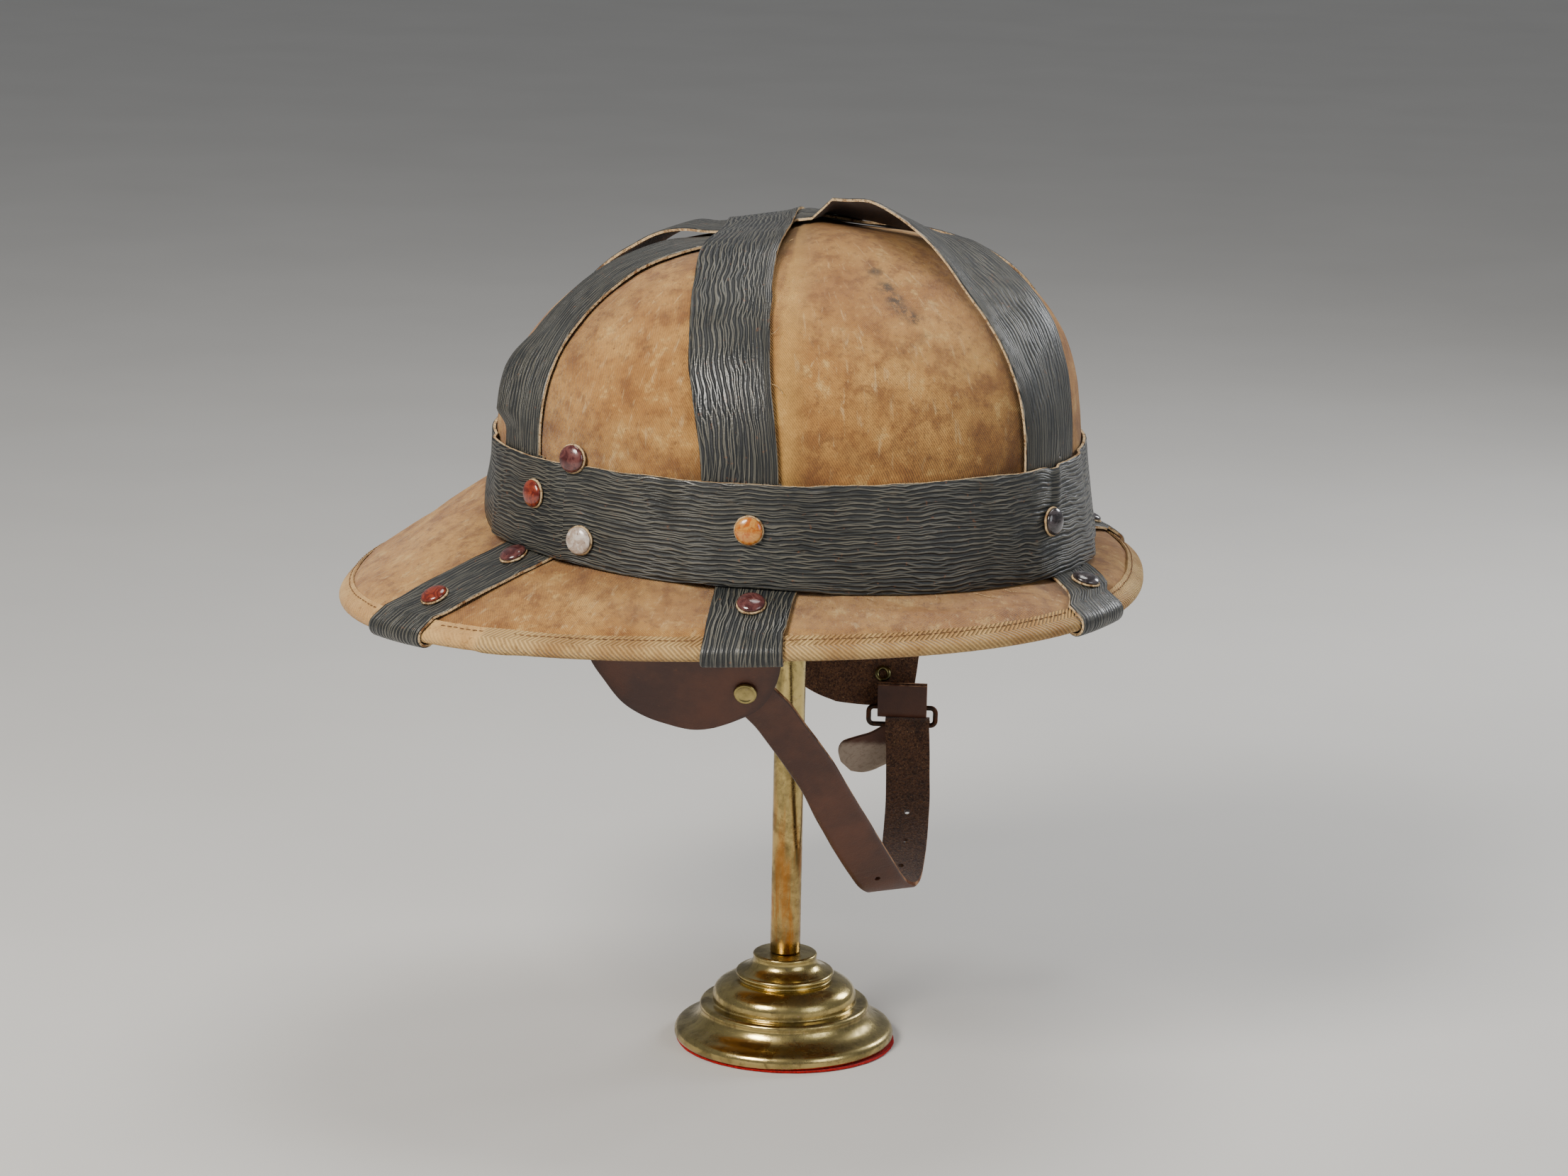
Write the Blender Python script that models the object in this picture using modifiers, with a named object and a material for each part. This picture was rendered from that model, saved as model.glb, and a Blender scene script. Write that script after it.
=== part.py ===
"""A strapped pith helmet resting on a plain turned brass hat stand.

Metres, +Z up. The origin is the middle of the stand's foot, +X is the helmet's front and +Y its left side.
Azimuths are in degrees, from the front (0) towards the left (90). The crown and the brim are surfaces given by
functions of the azimuth, and every strap, band, stud and flap is placed on them by a named clearance.
"""
import math

import bmesh
import bpy
from mathutils import Matrix, Vector

# Driving dimensions of the helmet
GAP = 0.0003
SHELL_WALL = 0.0045
BRIM_WALL = 0.0034
LEATHER = 0.0014
TAPE = 0.0008
BAND_LEATHER = 0.0015

# Crown: reach of its outer face from the pole at the band's lower and upper edge
FOOT_FRONT = 0.1221
FOOT_BACK = 0.1235
FOOT_SIDE = 0.1113
TOP_FRONT = 0.1174
TOP_BACK = 0.1223
TOP_SIDE = 0.1091
PLAN_POWER = 2.08
FOOT_LEVEL = 0.2219
FOOT_RISE_TO_BACK = 0.0308
# The foot climbs in a hump at the back, where the brim is steepest: height, azimuth and half its width in degrees
HUMP_RISE = 0.0165
HUMP_AZIMUTH = 165.0
HUMP_HALF_ANGLE = 38.0
BAND_TOP_LEVEL = 0.2634
CROWN_TOP = 0.3460
DOME_FRONT = (3.3, 2.3)
DOME_BACK = (2.25, 1.9)
DOME_SIDE = (2.6, 2.1)
CROWN_SEGMENTS = 48
DOME_ROWS = 9
# Rows crowd towards the rim of a dome by this power
ROW_CROWDING = 0.75

# Brim: reach and height of its bound edge
RIM_FRONT = 0.1458
RIM_BACK = 0.1880
RIM_SIDE = 0.1417
RIM_POWER = 2.30
RIM_LEVEL = 0.2027
RIM_FRONT_LIFT = 0.0068
RIM_ENDS_LIFT = -0.0010
BRIM_BOW = 0.0025
FOOT_SEAT = 0.0009
BRIM_ROWS = 3

BINDING_LEG = 0.0065
EDGE_STRIP = 0.0088
EDGE_STEPS = 3

# Straps and band
STRAP_WIDTH = 0.0312
STRAP_COLUMNS = 3
STRAP_TUCK = 0.0120
BRIM_STRAP_TUCK = 0.0090
BRIM_STRAP_RETURN = 0.0055
STRAP_BRIM_SHARES = (0.15, 0.40, 0.67, 0.90)
DOME_STRAP_STEPS = 13
STRAP_LIFT = 0.0008
STACK_REACH = 0.042
STACK_FADE = 0.020
BAND_SEGMENTS = 72
BAND_EASE = 0.0006
BAND_LIFT = 0.0024
TUCK_HALF_ANGLE = 12.0
TUCK_FADE_ANGLE = 5.0

# Each crown strap: azimuth where it starts and ends, how far back its middle crosses and how far its first half
# bows sideways, both as shares of the crown's side reach, how many straps lie under it, and how high it stands
# slack to the front and to the back of the side strap, as shares of the full slack
CROWN_STRAPS = {
    "crown_strap_side": {"start": -97.0, "end": 97.0, "back": 0.155, "bow": 0.06, "under": 2, "slack": (0.0, 0.0)},
    "crown_strap_fore": {"start": -28.0, "end": 147.0, "back": -0.02, "bow": 0.0, "under": 1, "slack": (1.0, 0.35)},
    "crown_strap_aft": {"start": -150.0, "end": 29.0, "back": 0.14, "bow": 0.09, "under": 0, "slack": (0.0, 0.0)},
}
# A bow grows to this share of the way out and dies at the foot by this power
BOW_GROWS = 0.6
BOW_DIES = 16.0
# Slack: its full height, and the distance from the side strap's middle where it starts, is highest and ends
SLACK_HEIGHT = 0.0105
SLACK_START = 0.0205
SLACK_PEAK = 0.0330
SLACK_END = 0.1000
# Shares of the crown's reach where a slack strap has rows of its own
SLACK_SHARES = (0.06, 0.12, 0.155, 0.22, 0.255)
# A strap turns from its first half's direction to its second half's within this share of the way out
CROSSING_TURN = 0.35

# Each brim strap: azimuth at the band and at the rim
BRIM_STRAPS = (
    {"at_band": -21.0, "at_rim": -31.0},
    {"at_band": -93.5, "at_rim": -94.0},
    {"at_band": -145.5, "at_rim": -148.5},
    {"at_band": 147.0, "at_rim": 150.0},
    {"at_band": 94.0, "at_rim": 94.0},
    {"at_band": 21.0, "at_rim": 30.0},
)

# Studs on the band: azimuth and height as a share of the band
BAND_STUDS = (
    {"azimuth": -143.0, "height": 0.60},
    {"azimuth": -134.0, "height": 1.06},
    {"azimuth": -131.0, "height": 0.20},
    {"azimuth": -95.0, "height": 0.54},
    {"azimuth": -29.5, "height": 0.48},
    {"azimuth": 28.0, "height": 0.48},
    {"azimuth": 95.0, "height": 0.54},
    {"azimuth": 147.0, "height": 0.54},
)
# Studs on the brim straps: number of the strap and distance out as a share of the brim
BRIM_STUDS = (
    {"strap": 1, "out": 0.50},
    {"strap": 2, "out": 0.38},
    {"strap": 3, "out": 0.73},
    {"strap": 3, "out": 0.14},
    {"strap": 4, "out": 0.66},
    {"strap": 5, "out": 0.38},
    {"strap": 6, "out": 0.50},
)
STUD_RADIUS = 0.0055
STUD_HEIGHT = 0.0024
BAND_STUD_EASE = 0.0005
BRIM_STUD_EASE = 0.0005
DISC_EASE = 0.0004
STUD_SIDES = 10
DISC_SIDES = 12

# Ear flaps: both hang from one height inside the crown. Their rows give how far down each row is, where its back
# and front edges are across the width, how much of the lean it has and how much of the wall's curve it has lost
FLAP_LEATHER = 0.0020
FLAP_COLUMNS = 7
FLAP_TOP = 0.2380
RIGHT_BACK = -0.0800
RIGHT_FRONT = 0.0040
RIGHT_BOTTOM = 0.1571
RIGHT_LEAN = 0.0210
LEFT_BACK = -0.0200
LEFT_FRONT = 0.0560
LEFT_BOTTOM = 0.1270
LEFT_LEAN = 0.0215
FLAP_RIGHT = {"back": RIGHT_BACK, "front": RIGHT_FRONT, "bottom": RIGHT_BOTTOM, "lean": RIGHT_LEAN}
FLAP_LEFT = {"back": LEFT_BACK, "front": LEFT_FRONT, "bottom": LEFT_BOTTOM, "lean": LEFT_LEAN}
FLAP_RIGHT_ROWS = (
    {"down": 0.00, "back": 0.00, "front": 1.00, "lean": 0.00, "flat": 0.00},
    {"down": 0.28, "back": 0.00, "front": 1.00, "lean": 0.00, "flat": 0.00},
    {"down": 0.47, "back": 0.01, "front": 0.99, "lean": 0.29, "flat": 0.20},
    {"down": 0.655, "back": 0.05, "front": 0.975, "lean": 0.60, "flat": 0.50},
    {"down": 0.78, "back": 0.13, "front": 0.94, "lean": 0.79, "flat": 0.70},
    {"down": 0.89, "back": 0.22, "front": 0.87, "lean": 0.91, "flat": 0.85},
    {"down": 0.96, "back": 0.335, "front": 0.755, "lean": 0.97, "flat": 0.90},
    {"down": 1.00, "back": 0.465, "front": 0.655, "lean": 1.00, "flat": 0.90},
)
FLAP_LEFT_ROWS = (
    {"down": 0.00, "back": 0.00, "front": 1.00, "lean": 0.00, "flat": 0.00},
    {"down": 0.21, "back": 0.00, "front": 1.00, "lean": 0.00, "flat": 0.00},
    {"down": 0.39, "back": 0.01, "front": 0.98, "lean": 0.28, "flat": 0.20},
    {"down": 0.61, "back": 0.05, "front": 0.955, "lean": 0.58, "flat": 0.60},
    {"down": 0.79, "back": 0.12, "front": 0.93, "lean": 0.79, "flat": 0.90},
    {"down": 0.91, "back": 0.20, "front": 0.91, "lean": 0.92, "flat": 1.00},
    {"down": 0.97, "back": 0.33, "front": 0.895, "lean": 0.98, "flat": 1.00},
    {"down": 1.00, "back": 0.46, "front": 0.88, "lean": 1.00, "flat": 1.00},
)
# Snap: share of the right flap's width and of the way down it
SNAP_ACROSS = 0.807
SNAP_DOWN = 0.797
SNAP_RADIUS = 0.0047
SNAP_HEIGHT = 0.0012
# Eyelet: share of the left flap's width, and height over the keeper's top
EYELET_ACROSS = 0.725
EYELET_OVER_KEEPER = 0.0023
EYELET_RADIUS = 0.0036
EYELET_HOLE = 0.0016
EYELET_HEIGHT = 0.0010

# Buckle: a wire frame whose upper bar hangs in the keeper's fold and whose lower bar carries the chin strap
BUCKLE_WIRE = 0.0011
BUCKLE_ACROSS = 0.842
BUCKLE_HALF_WIDTH = 0.0145
BAR_BELOW_FLAP = 0.0002
BUCKLE_DROP = 0.0078
FOLD_STEPS = 6
UPPER_BAR_HEIGHT = FLAP_LEFT["bottom"] - BAR_BELOW_FLAP
LOWER_BAR_HEIGHT = UPPER_BAR_HEIGHT - BUCKLE_DROP
KEEPER_LEATHER = 0.0016
KEEPER_RISE = 0.0102
KEEPER_WIDTH = 0.0212

# Chin strap, from the snap to its lowest point and up to the buckle. Its stations give how far forward of the
# snap, how far along to the buckle's side and how high above the lowest point they are, and the direction across
STRAP_LEATHER = 0.0022
CHIN_WIDTH = 0.0190
CHIN_COLUMNS = 2
CHIN_LOW = 0.0680
CHIN_FOLD_SHIFT = 0.0024
# The strap lies against the right flap down to this far below it. Both lean, so across they measure thicker by
# these factors
CHIN_LEAVES_FLAP = 0.0040
FLAP_SLANT = 1.25
CHIN_SLANT = 1.30
CHIN_NEAR = (
    {"forward": -0.10, "along": 0.00, "rise": 1.06, "across": (8.0, -4.0, 9.0), "width": 0.55},
    {"forward": -0.05, "along": 0.01, "rise": 1.03, "across": (8.5, -4.0, 9.5), "width": 0.92},
    {"forward": 0.01, "along": 0.01, "rise": 0.99, "across": (9.0, -4.5, 10.0), "width": 1.0},
    {"forward": 0.11, "along": 0.03, "rise": 0.93, "across": (10.5, -5.0, 10.5), "width": 1.0},
    {"forward": 0.19, "along": 0.06, "rise": 0.87, "across": (11.5, -5.0, 11.0), "width": 1.0},
    {"forward": 0.31, "along": 0.10, "rise": 0.76, "across": (12.0, -5.0, 12.0), "width": 1.0},
    {"forward": 0.46, "along": 0.17, "rise": 0.61, "across": (13.0, -4.0, 12.0), "width": 1.0},
    {"forward": 0.59, "along": 0.25, "rise": 0.44, "across": (14.5, -2.0, 11.0), "width": 1.0},
    {"forward": 0.72, "along": 0.34, "rise": 0.27, "across": (16.5, 0.0, 8.5), "width": 1.0},
    {"forward": 0.83, "along": 0.42, "rise": 0.13, "across": (17.0, 1.0, 6.0), "width": 1.0},
    {"forward": 0.90, "along": 0.47, "rise": 0.05, "across": (17.5, 3.0, 3.5), "width": 1.0},
    {"forward": 0.96, "along": 0.54, "rise": 0.00, "across": (18.0, 3.0, 2.0), "width": 1.0},
)
CHIN_FAR = (
    {"forward": 1.00, "along": 0.61, "rise": 0.00, "across": (18.5, 2.5, 1.0), "width": 1.0},
    {"forward": 1.02, "along": 0.70, "rise": 0.09, "across": (19.0, 2.0, 1.0), "width": 1.0},
    {"forward": 1.03, "along": 0.80, "rise": 0.24, "across": (19.0, 1.0, 1.0), "width": 1.0},
    {"forward": 1.03, "along": 0.88, "rise": 0.43, "across": (19.0, 0.0, 1.0), "width": 1.0},
    {"forward": 1.02, "along": 0.95, "rise": 0.67, "across": (19.0, 0.0, 0.5), "width": 1.0},
    {"forward": 1.01, "along": 0.99, "rise": 0.86, "across": (19.0, 0.0, 0.0), "width": 1.0},
)
# Free end of the chin strap, from the fold over the lower bar back and down to the tip
TAIL_REACH = 0.0264
TAIL_DROP = 0.0202
CHIN_TAIL = (
    {"back": 0.09, "down": 0.20, "across": (18.5, 0.0, -4.0), "width": 1.0},
    {"back": 0.28, "down": 0.42, "across": (17.5, 0.0, -7.5), "width": 1.0},
    {"back": 0.51, "down": 0.58, "across": (16.0, 0.0, -10.0), "width": 1.0},
    {"back": 0.77, "down": 0.74, "across": (14.5, 0.0, -12.0), "width": 1.0},
    {"back": 0.92, "down": 0.88, "across": (14.0, 0.0, -12.5), "width": 0.80},
    {"back": 1.00, "down": 1.00, "across": (14.0, 0.0, -12.5), "width": 0.35},
)

# Stand
FELT_THICKNESS = 0.0010
POLE_RADIUS = 0.00635
POLE_SIDES = 24
TURNED_STEPS = 28
BASE_RADIUS = 0.0464
FELT_INSET = 0.0006
FELT_RADIUS = BASE_RADIUS - FELT_INSET
BASE_HEIGHT = 0.0371
# Turned base, from the collar's top down: shares of the base's radius and height
BASE_PROFILE = (
    {"radius": 0.00, "height": 1.00},
    {"radius": 0.26, "height": 1.00},
    {"radius": 0.29, "height": 0.975},
    {"radius": 0.285, "height": 0.93},
    {"radius": 0.325, "height": 0.85},
    {"radius": 0.43, "height": 0.79},
    {"radius": 0.445, "height": 0.76},
    {"radius": 0.43, "height": 0.70},
    {"radius": 0.52, "height": 0.675},
    {"radius": 0.62, "height": 0.60},
    {"radius": 0.653, "height": 0.505},
    {"radius": 0.653, "height": 0.43},
    {"radius": 0.745, "height": 0.42},
    {"radius": 0.767, "height": 0.395},
    {"radius": 0.772, "height": 0.33},
    {"radius": 0.84, "height": 0.215},
    {"radius": 0.95, "height": 0.16},
    {"radius": 0.995, "height": 0.11},
    {"radius": 1.00, "height": 0.05},
    {"radius": 0.98, "height": 0.00},
    {"radius": 0.00, "height": 0.00},
)
HEAD_RADIUS = 0.0300
HEAD_DEPTH = 0.0105
# Stand head inside the crown: shares of its radius, and of its depth below the crown's inner top
HEAD_PROFILE = (
    {"radius": 0.00, "below": 0.06},
    {"radius": 0.57, "below": 0.21},
    {"radius": 0.87, "below": 0.38},
    {"radius": 1.00, "below": 0.67},
    {"radius": 0.97, "below": 1.00},
    {"radius": 0.00, "below": 1.00},
)


def smooth(value, low, high):
    """Ease from 0 at low to 1 at high."""
    share = min(1.0, max(0.0, (value - low) / (high - low)))
    return share * share * (3.0 - 2.0 * share)


def outline(azimuth, front, back, side, power):
    """Radius of an egg-shaped plan at an azimuth in radians."""
    reach = front if math.cos(azimuth) > 0.0 else back
    along = abs(math.cos(azimuth) / reach) ** power
    across = abs(math.sin(azimuth) / side) ** power
    return (along + across) ** (-1.0 / power)


def in_plan(azimuth, radius, height):
    return Vector((radius * math.cos(azimuth), radius * math.sin(azimuth), height))


def foot_radius(azimuth):
    return outline(azimuth, FOOT_FRONT, FOOT_BACK, FOOT_SIDE, PLAN_POWER)


def top_radius(azimuth):
    return outline(azimuth, TOP_FRONT, TOP_BACK, TOP_SIDE, PLAN_POWER)


def foot_level(azimuth):
    """Height of the crown's foot, which rises to the back."""
    level = FOOT_LEVEL - FOOT_RISE_TO_BACK * foot_radius(azimuth) * math.cos(azimuth)
    from_hump = abs((math.degrees(azimuth) - HUMP_AZIMUTH + 180.0) % 360.0 - 180.0)
    return level + HUMP_RISE * (1.0 - smooth(from_hump, 0.0, HUMP_HALF_ANGLE))


def wall_point(azimuth, height):
    """Point on the crown's wall, from its foot up to the dome."""
    low = foot_level(azimuth)
    share = (height - low) / (BAND_TOP_LEVEL - low)
    radius = foot_radius(azimuth) * (1.0 - share) + top_radius(azimuth) * share
    return in_plan(azimuth, radius, height)


def wall_normal(azimuth, height):
    """Level direction straight out from the crown's wall."""
    step = 0.01
    along = wall_point(azimuth + step, height) - wall_point(azimuth - step, height)
    return Vector((along.y, -along.x, 0.0)).normalized()


def dome_point(azimuth, share):
    """Point on the dome, at a share of its plan radius from the apex."""
    share = min(1.0, share)
    side_weight = math.sin(azimuth) ** 2
    ends = DOME_FRONT if math.cos(azimuth) > 0.0 else DOME_BACK
    plan_power = ends[0] * (1.0 - side_weight) + DOME_SIDE[0] * side_weight
    rise_power = ends[1] * (1.0 - side_weight) + DOME_SIDE[1] * side_weight
    climb = (1.0 - share ** plan_power) ** (1.0 / rise_power)
    height = BAND_TOP_LEVEL + (CROWN_TOP - BAND_TOP_LEVEL) * climb
    return in_plan(azimuth, top_radius(azimuth) * share, height)


def dome_normal(azimuth, share):
    step = 0.012
    inner = min(share, 1.0 - step)
    middle = Vector((inner * math.cos(azimuth), inner * math.sin(azimuth)))

    def at(along, across):
        spot = middle + Vector((along, across))
        return dome_point(math.atan2(spot.y, spot.x), spot.length)

    normal = (at(step, 0.0) - at(-step, 0.0)).cross(at(0.0, step) - at(0.0, -step))
    return normal.normalized()


def brim_edge_radius(azimuth):
    """Reach of the brim's plate, inside the bound edge."""
    edge_round = BRIM_WALL / 2.0 + GAP + TAPE
    return outline(azimuth, RIM_FRONT, RIM_BACK, RIM_SIDE, RIM_POWER) - edge_round


def brim_ends(azimuth):
    """Inner and outer point of the brim's upper face."""
    inner = in_plan(azimuth, foot_radius(azimuth), foot_level(azimuth) - FOOT_SEAT)
    edge_height = RIM_LEVEL + RIM_FRONT_LIFT * math.cos(azimuth) + RIM_ENDS_LIFT * math.cos(2.0 * azimuth)
    return inner, in_plan(azimuth, brim_edge_radius(azimuth), edge_height)


def strip_share(azimuth):
    """Share of the way out where the brim's straight outer strip starts."""
    inner, edge = brim_ends(azimuth)
    return 1.0 - EDGE_STRIP / (edge - inner).length


def brim_point(azimuth, out):
    """Point on the brim's upper face, bowed up from the crown's foot (0) and straight at the plate's edge (1)."""
    inner, edge = brim_ends(azimuth)
    strip = strip_share(azimuth)
    point = inner.lerp(edge, out)
    if out < strip:
        point.z += BRIM_BOW * math.sin(math.pi / 2.0 * out / strip)
    else:
        point.z += BRIM_BOW * (1.0 - out) / (1.0 - strip)
    return point


def brim_normal(azimuth, out):
    step = 0.01
    outward = brim_point(azimuth, min(1.0, out + step)) - brim_point(azimuth, max(0.0, out - step))
    around = brim_point(azimuth + step, out) - brim_point(azimuth - step, out)
    return outward.cross(around).normalized()


def around_rim(azimuth, inset, lift):
    """Section that wraps the brim's edge at a distance from the plate, from above to below."""
    corner = brim_point(azimuth, 1.0)
    up = brim_normal(azimuth, 1.0)
    outward = (corner - brim_point(azimuth, strip_share(azimuth))).normalized()
    middle = corner - up * BRIM_WALL / 2.0
    radius = BRIM_WALL / 2.0 + lift
    points = [middle + up * radius - outward * inset]
    for step in range(EDGE_STEPS + 1):
        turn = math.pi / 2.0 - math.pi * step / EDGE_STEPS
        points.append(middle + outward * radius * math.cos(turn) + up * radius * math.sin(turn))
    points.append(middle - up * radius - outward * inset)
    return points


def material(name, colour, roughness, metallic=0.0):
    made = bpy.data.materials.new(name)
    made.use_nodes = True
    shader = made.node_tree.nodes["Principled BSDF"]
    shader.inputs["Base Color"].default_value = (*colour, 1.0)
    shader.inputs["Roughness"].default_value = roughness
    shader.inputs["Metallic"].default_value = metallic
    made.diffuse_color = (*colour, 1.0)
    return made


def add_object(name, data, collection, surface):
    made = bpy.data.objects.new(name, data)
    made.data.materials.append(surface)
    collection.objects.link(made)
    return made


def sheet(name, rows, around, thickness, collection, surface):
    """Loft rows of points into an open sheet and thicken it along its outer side."""
    mesh = bpy.data.meshes.new(name)
    shape = bmesh.new()
    grid = [[shape.verts.new(point) for point in row] for row in rows]
    columns = len(rows[0])
    last = columns if around else columns - 1
    for lower, upper in zip(grid, grid[1:]):
        for column in range(last):
            beside = (column + 1) % columns
            shape.faces.new((lower[column], lower[beside], upper[beside], upper[column]))
    shape.to_mesh(mesh)
    shape.free()
    mesh.shade_smooth()
    made = add_object(name, mesh, collection, surface)
    solidify = made.modifiers.new("thickness", "SOLIDIFY")
    solidify.thickness = thickness
    solidify.offset = 1.0
    solidify.use_even_offset = True
    return made


def turned(name, profile, steps, collection, surface, place=None):
    """Turn a profile, given from the top down, about its own Z axis."""
    mesh = bpy.data.meshes.new(name)
    edges = [(index, index + 1) for index in range(len(profile) - 1)]
    mesh.from_pydata([(radius, 0.0, height) for radius, height in profile], edges, [])
    made = add_object(name, mesh, collection, surface)
    screw = made.modifiers.new("turn", "SCREW")
    screw.steps = steps
    screw.render_steps = steps
    screw.use_merge_vertices = True
    screw.merge_threshold = 0.00001
    screw.use_smooth_shade = True
    if place is not None:
        made.matrix_world = place
    return made


def upright_on(point, normal):
    """Placement whose Z axis is a surface's normal."""
    return Matrix.Translation(point) @ normal.to_track_quat("Z", "Y").to_matrix().to_4x4()


def segment_azimuths(count):
    return [2.0 * math.pi * index / count for index in range(count)]


def build_crown(collection, surface):
    azimuths = segment_azimuths(CROWN_SEGMENTS)
    rows = []
    for share in (0.0, 0.5):
        rows.append([wall_point(a, foot_level(a) * (1.0 - share) + BAND_TOP_LEVEL * share) for a in azimuths])
    for row in range(DOME_ROWS):
        share = math.cos(math.pi / 2.0 * row / DOME_ROWS) ** ROW_CROWDING
        rows.append([dome_point(a, share) for a in azimuths])
    # The rows run up the outside, and the wall's thickness goes in from them
    crown = sheet("crown", rows, True, SHELL_WALL, collection, surface)
    crown.modifiers["thickness"].offset = -1.0
    shape = bmesh.new()
    shape.from_mesh(crown.data)
    shape.verts.ensure_lookup_table()
    apex = shape.verts.new(dome_point(0.0, 0.0))
    first = (len(rows) - 1) * CROWN_SEGMENTS
    shape.verts.ensure_lookup_table()
    for column in range(CROWN_SEGMENTS):
        beside = (column + 1) % CROWN_SEGMENTS
        shape.faces.new((shape.verts[first + column], shape.verts[first + beside], apex))
    shape.to_mesh(crown.data)
    shape.free()
    crown.data.shade_smooth()
    return crown


def build_brim(collection, surface):
    azimuths = segment_azimuths(CROWN_SEGMENTS)
    inner = []
    for azimuth in azimuths:
        foot = brim_point(azimuth, 0.0)
        inner.append(foot - wall_normal(azimuth, foot_level(azimuth)) * SHELL_WALL)
    rows = [inner]
    for row in range(BRIM_ROWS + 1):
        rows.append([brim_point(a, strip_share(a) * row / BRIM_ROWS) for a in azimuths])
    rows.append([brim_point(a, 1.0) for a in azimuths])
    rows.reverse()
    brim = sheet("brim", rows, True, BRIM_WALL, collection, surface)
    brim.modifiers["thickness"].offset = -1.0
    return brim


def build_binding(collection, surface):
    sections = [around_rim(a, BINDING_LEG, GAP) for a in segment_azimuths(CROWN_SEGMENTS)]
    rows = [list(row) for row in zip(*sections)]
    rows.reverse()
    return sheet("brim_binding", rows, True, TAPE, collection, surface)


def crossing(strap):
    """Where the middle of a crown strap crosses the crown, in plan."""
    return Vector((-TOP_SIDE * strap["back"], 0.0))


def dome_above(spot):
    """Azimuth and share of the way out of a point in plan."""
    azimuth = math.atan2(spot.y, spot.x)
    return azimuth, min(1.0, spot.length / top_radius(azimuth))


def crown_strap_lift(spot, strap):
    """Height of a crown strap's lower face over the crown at a point in plan."""
    side = CROWN_STRAPS["crown_strap_side"]
    from_side = spot - crossing(side)
    stacked = 1.0 - smooth(from_side.length, STACK_REACH, STACK_REACH + STACK_FADE)
    lift = STRAP_LIFT + strap["under"] * (LEATHER + GAP + GAP) * stacked
    azimuth = math.radians(side["start"])
    beside = from_side.x * math.sin(azimuth) - from_side.y * math.cos(azimuth)
    slack = SLACK_HEIGHT * strap["slack"][0 if beside < 0.0 else 1]
    beside = abs(beside)
    return lift + slack * smooth(beside, SLACK_START, SLACK_PEAK) * (1.0 - smooth(beside, SLACK_PEAK, SLACK_END))


def half_shares(slack):
    """Shares of the way from the crossing out where a strap has rows."""
    steps = range(1, DOME_STRAP_STEPS + 1)
    shares = [math.sin(math.pi / 2.0 * step / DOME_STRAP_STEPS) ** ROW_CROWDING for step in steps]
    if slack:
        shares.extend(SLACK_SHARES)
    return sorted(shares)


def build_crown_strap(name, strap, collection, surface):
    start = math.radians(strap["start"])
    end = math.radians(strap["end"])
    middle = crossing(strap)
    near_half = in_plan(start, top_radius(start), 0.0).xy - middle
    far_half = in_plan(end, top_radius(end), 0.0).xy - middle
    laterals = [STRAP_WIDTH * (column / STRAP_COLUMNS - 0.5) for column in range(STRAP_COLUMNS + 1)]
    rows = []

    def wall_row(azimuth, height, sign):
        row = []
        for lateral in laterals:
            turned_azimuth = azimuth + math.atan2(sign * lateral, top_radius(azimuth))
            point = wall_point(turned_azimuth, height)
            row.append(point + wall_normal(turned_azimuth, height) * STRAP_LIFT)
        return row

    for drop in (STRAP_TUCK, STRAP_TUCK / 2.0):
        rows.append(wall_row(start, BAND_TOP_LEVEL - drop, 1.0))
    shares = half_shares(strap["slack"][0])[::-1] + [0.0]
    shares += [-share for share in half_shares(strap["slack"][1])]
    sideways = Vector((near_half.y, -near_half.x)).normalized() * TOP_SIDE * strap["bow"]
    for share in shares:
        half = near_half if share > 0.0 else far_half
        # Across the crossing the row turns from one half's direction to the other's
        turn = smooth(-share, -CROSSING_TURN, CROSSING_TURN)
        along = near_half.normalized().lerp(-far_half.normalized(), turn)
        across = Vector((-along.y, along.x)).normalized()
        # Towards the foot the row turns to follow the wall
        foot = (middle + half).normalized() * math.copysign(1.0, share)
        turn = smooth(abs(share), 1.0 - CROSSING_TURN, 1.0)
        across = across.lerp(Vector((-foot.y, foot.x)), turn).normalized()
        spot = middle + half * abs(share)
        if share > 0.0:
            spot += sideways * smooth(share, 0.0, BOW_GROWS) * (1.0 - share ** BOW_DIES)
        row = []
        for lateral in laterals:
            beside = spot + across * lateral
            azimuth, out = dome_above(beside)
            row.append(dome_point(azimuth, out) + dome_normal(azimuth, out) * crown_strap_lift(beside, strap))
        rows.append(row)
    for drop in (STRAP_TUCK / 2.0, STRAP_TUCK):
        rows.append(wall_row(end, BAND_TOP_LEVEL - drop, -1.0))
    return sheet(name, rows, False, LEATHER, collection, surface)


def near_strap(azimuth, middles):
    """How far (1 to 0) an azimuth lies over one of the straps under the band."""
    degrees = math.degrees(azimuth)
    nearest = min(abs((degrees - middle + 180.0) % 360.0 - 180.0) for middle in middles)
    return 1.0 - smooth(nearest, TUCK_HALF_ANGLE, TUCK_HALF_ANGLE + TUCK_FADE_ANGLE)


def band_offset(azimuth, share):
    """Distance of the band's inner face from the crown's wall."""
    upper = [strap[key] for strap in CROWN_STRAPS.values() for key in ("start", "end")]
    lower = [strap["at_band"] for strap in BRIM_STRAPS]
    over = near_strap(azimuth, upper) * share + near_strap(azimuth, lower) * (1.0 - share)
    ease = STRAP_LIFT + LEATHER + GAP + BAND_EASE
    return BAND_EASE + (ease - BAND_EASE) * over


def band_point(azimuth, share):
    low = foot_level(azimuth) + BAND_LIFT
    height = low + (BAND_TOP_LEVEL - low) * share
    return wall_point(azimuth, height) + wall_normal(azimuth, height) * band_offset(azimuth, share)


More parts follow.
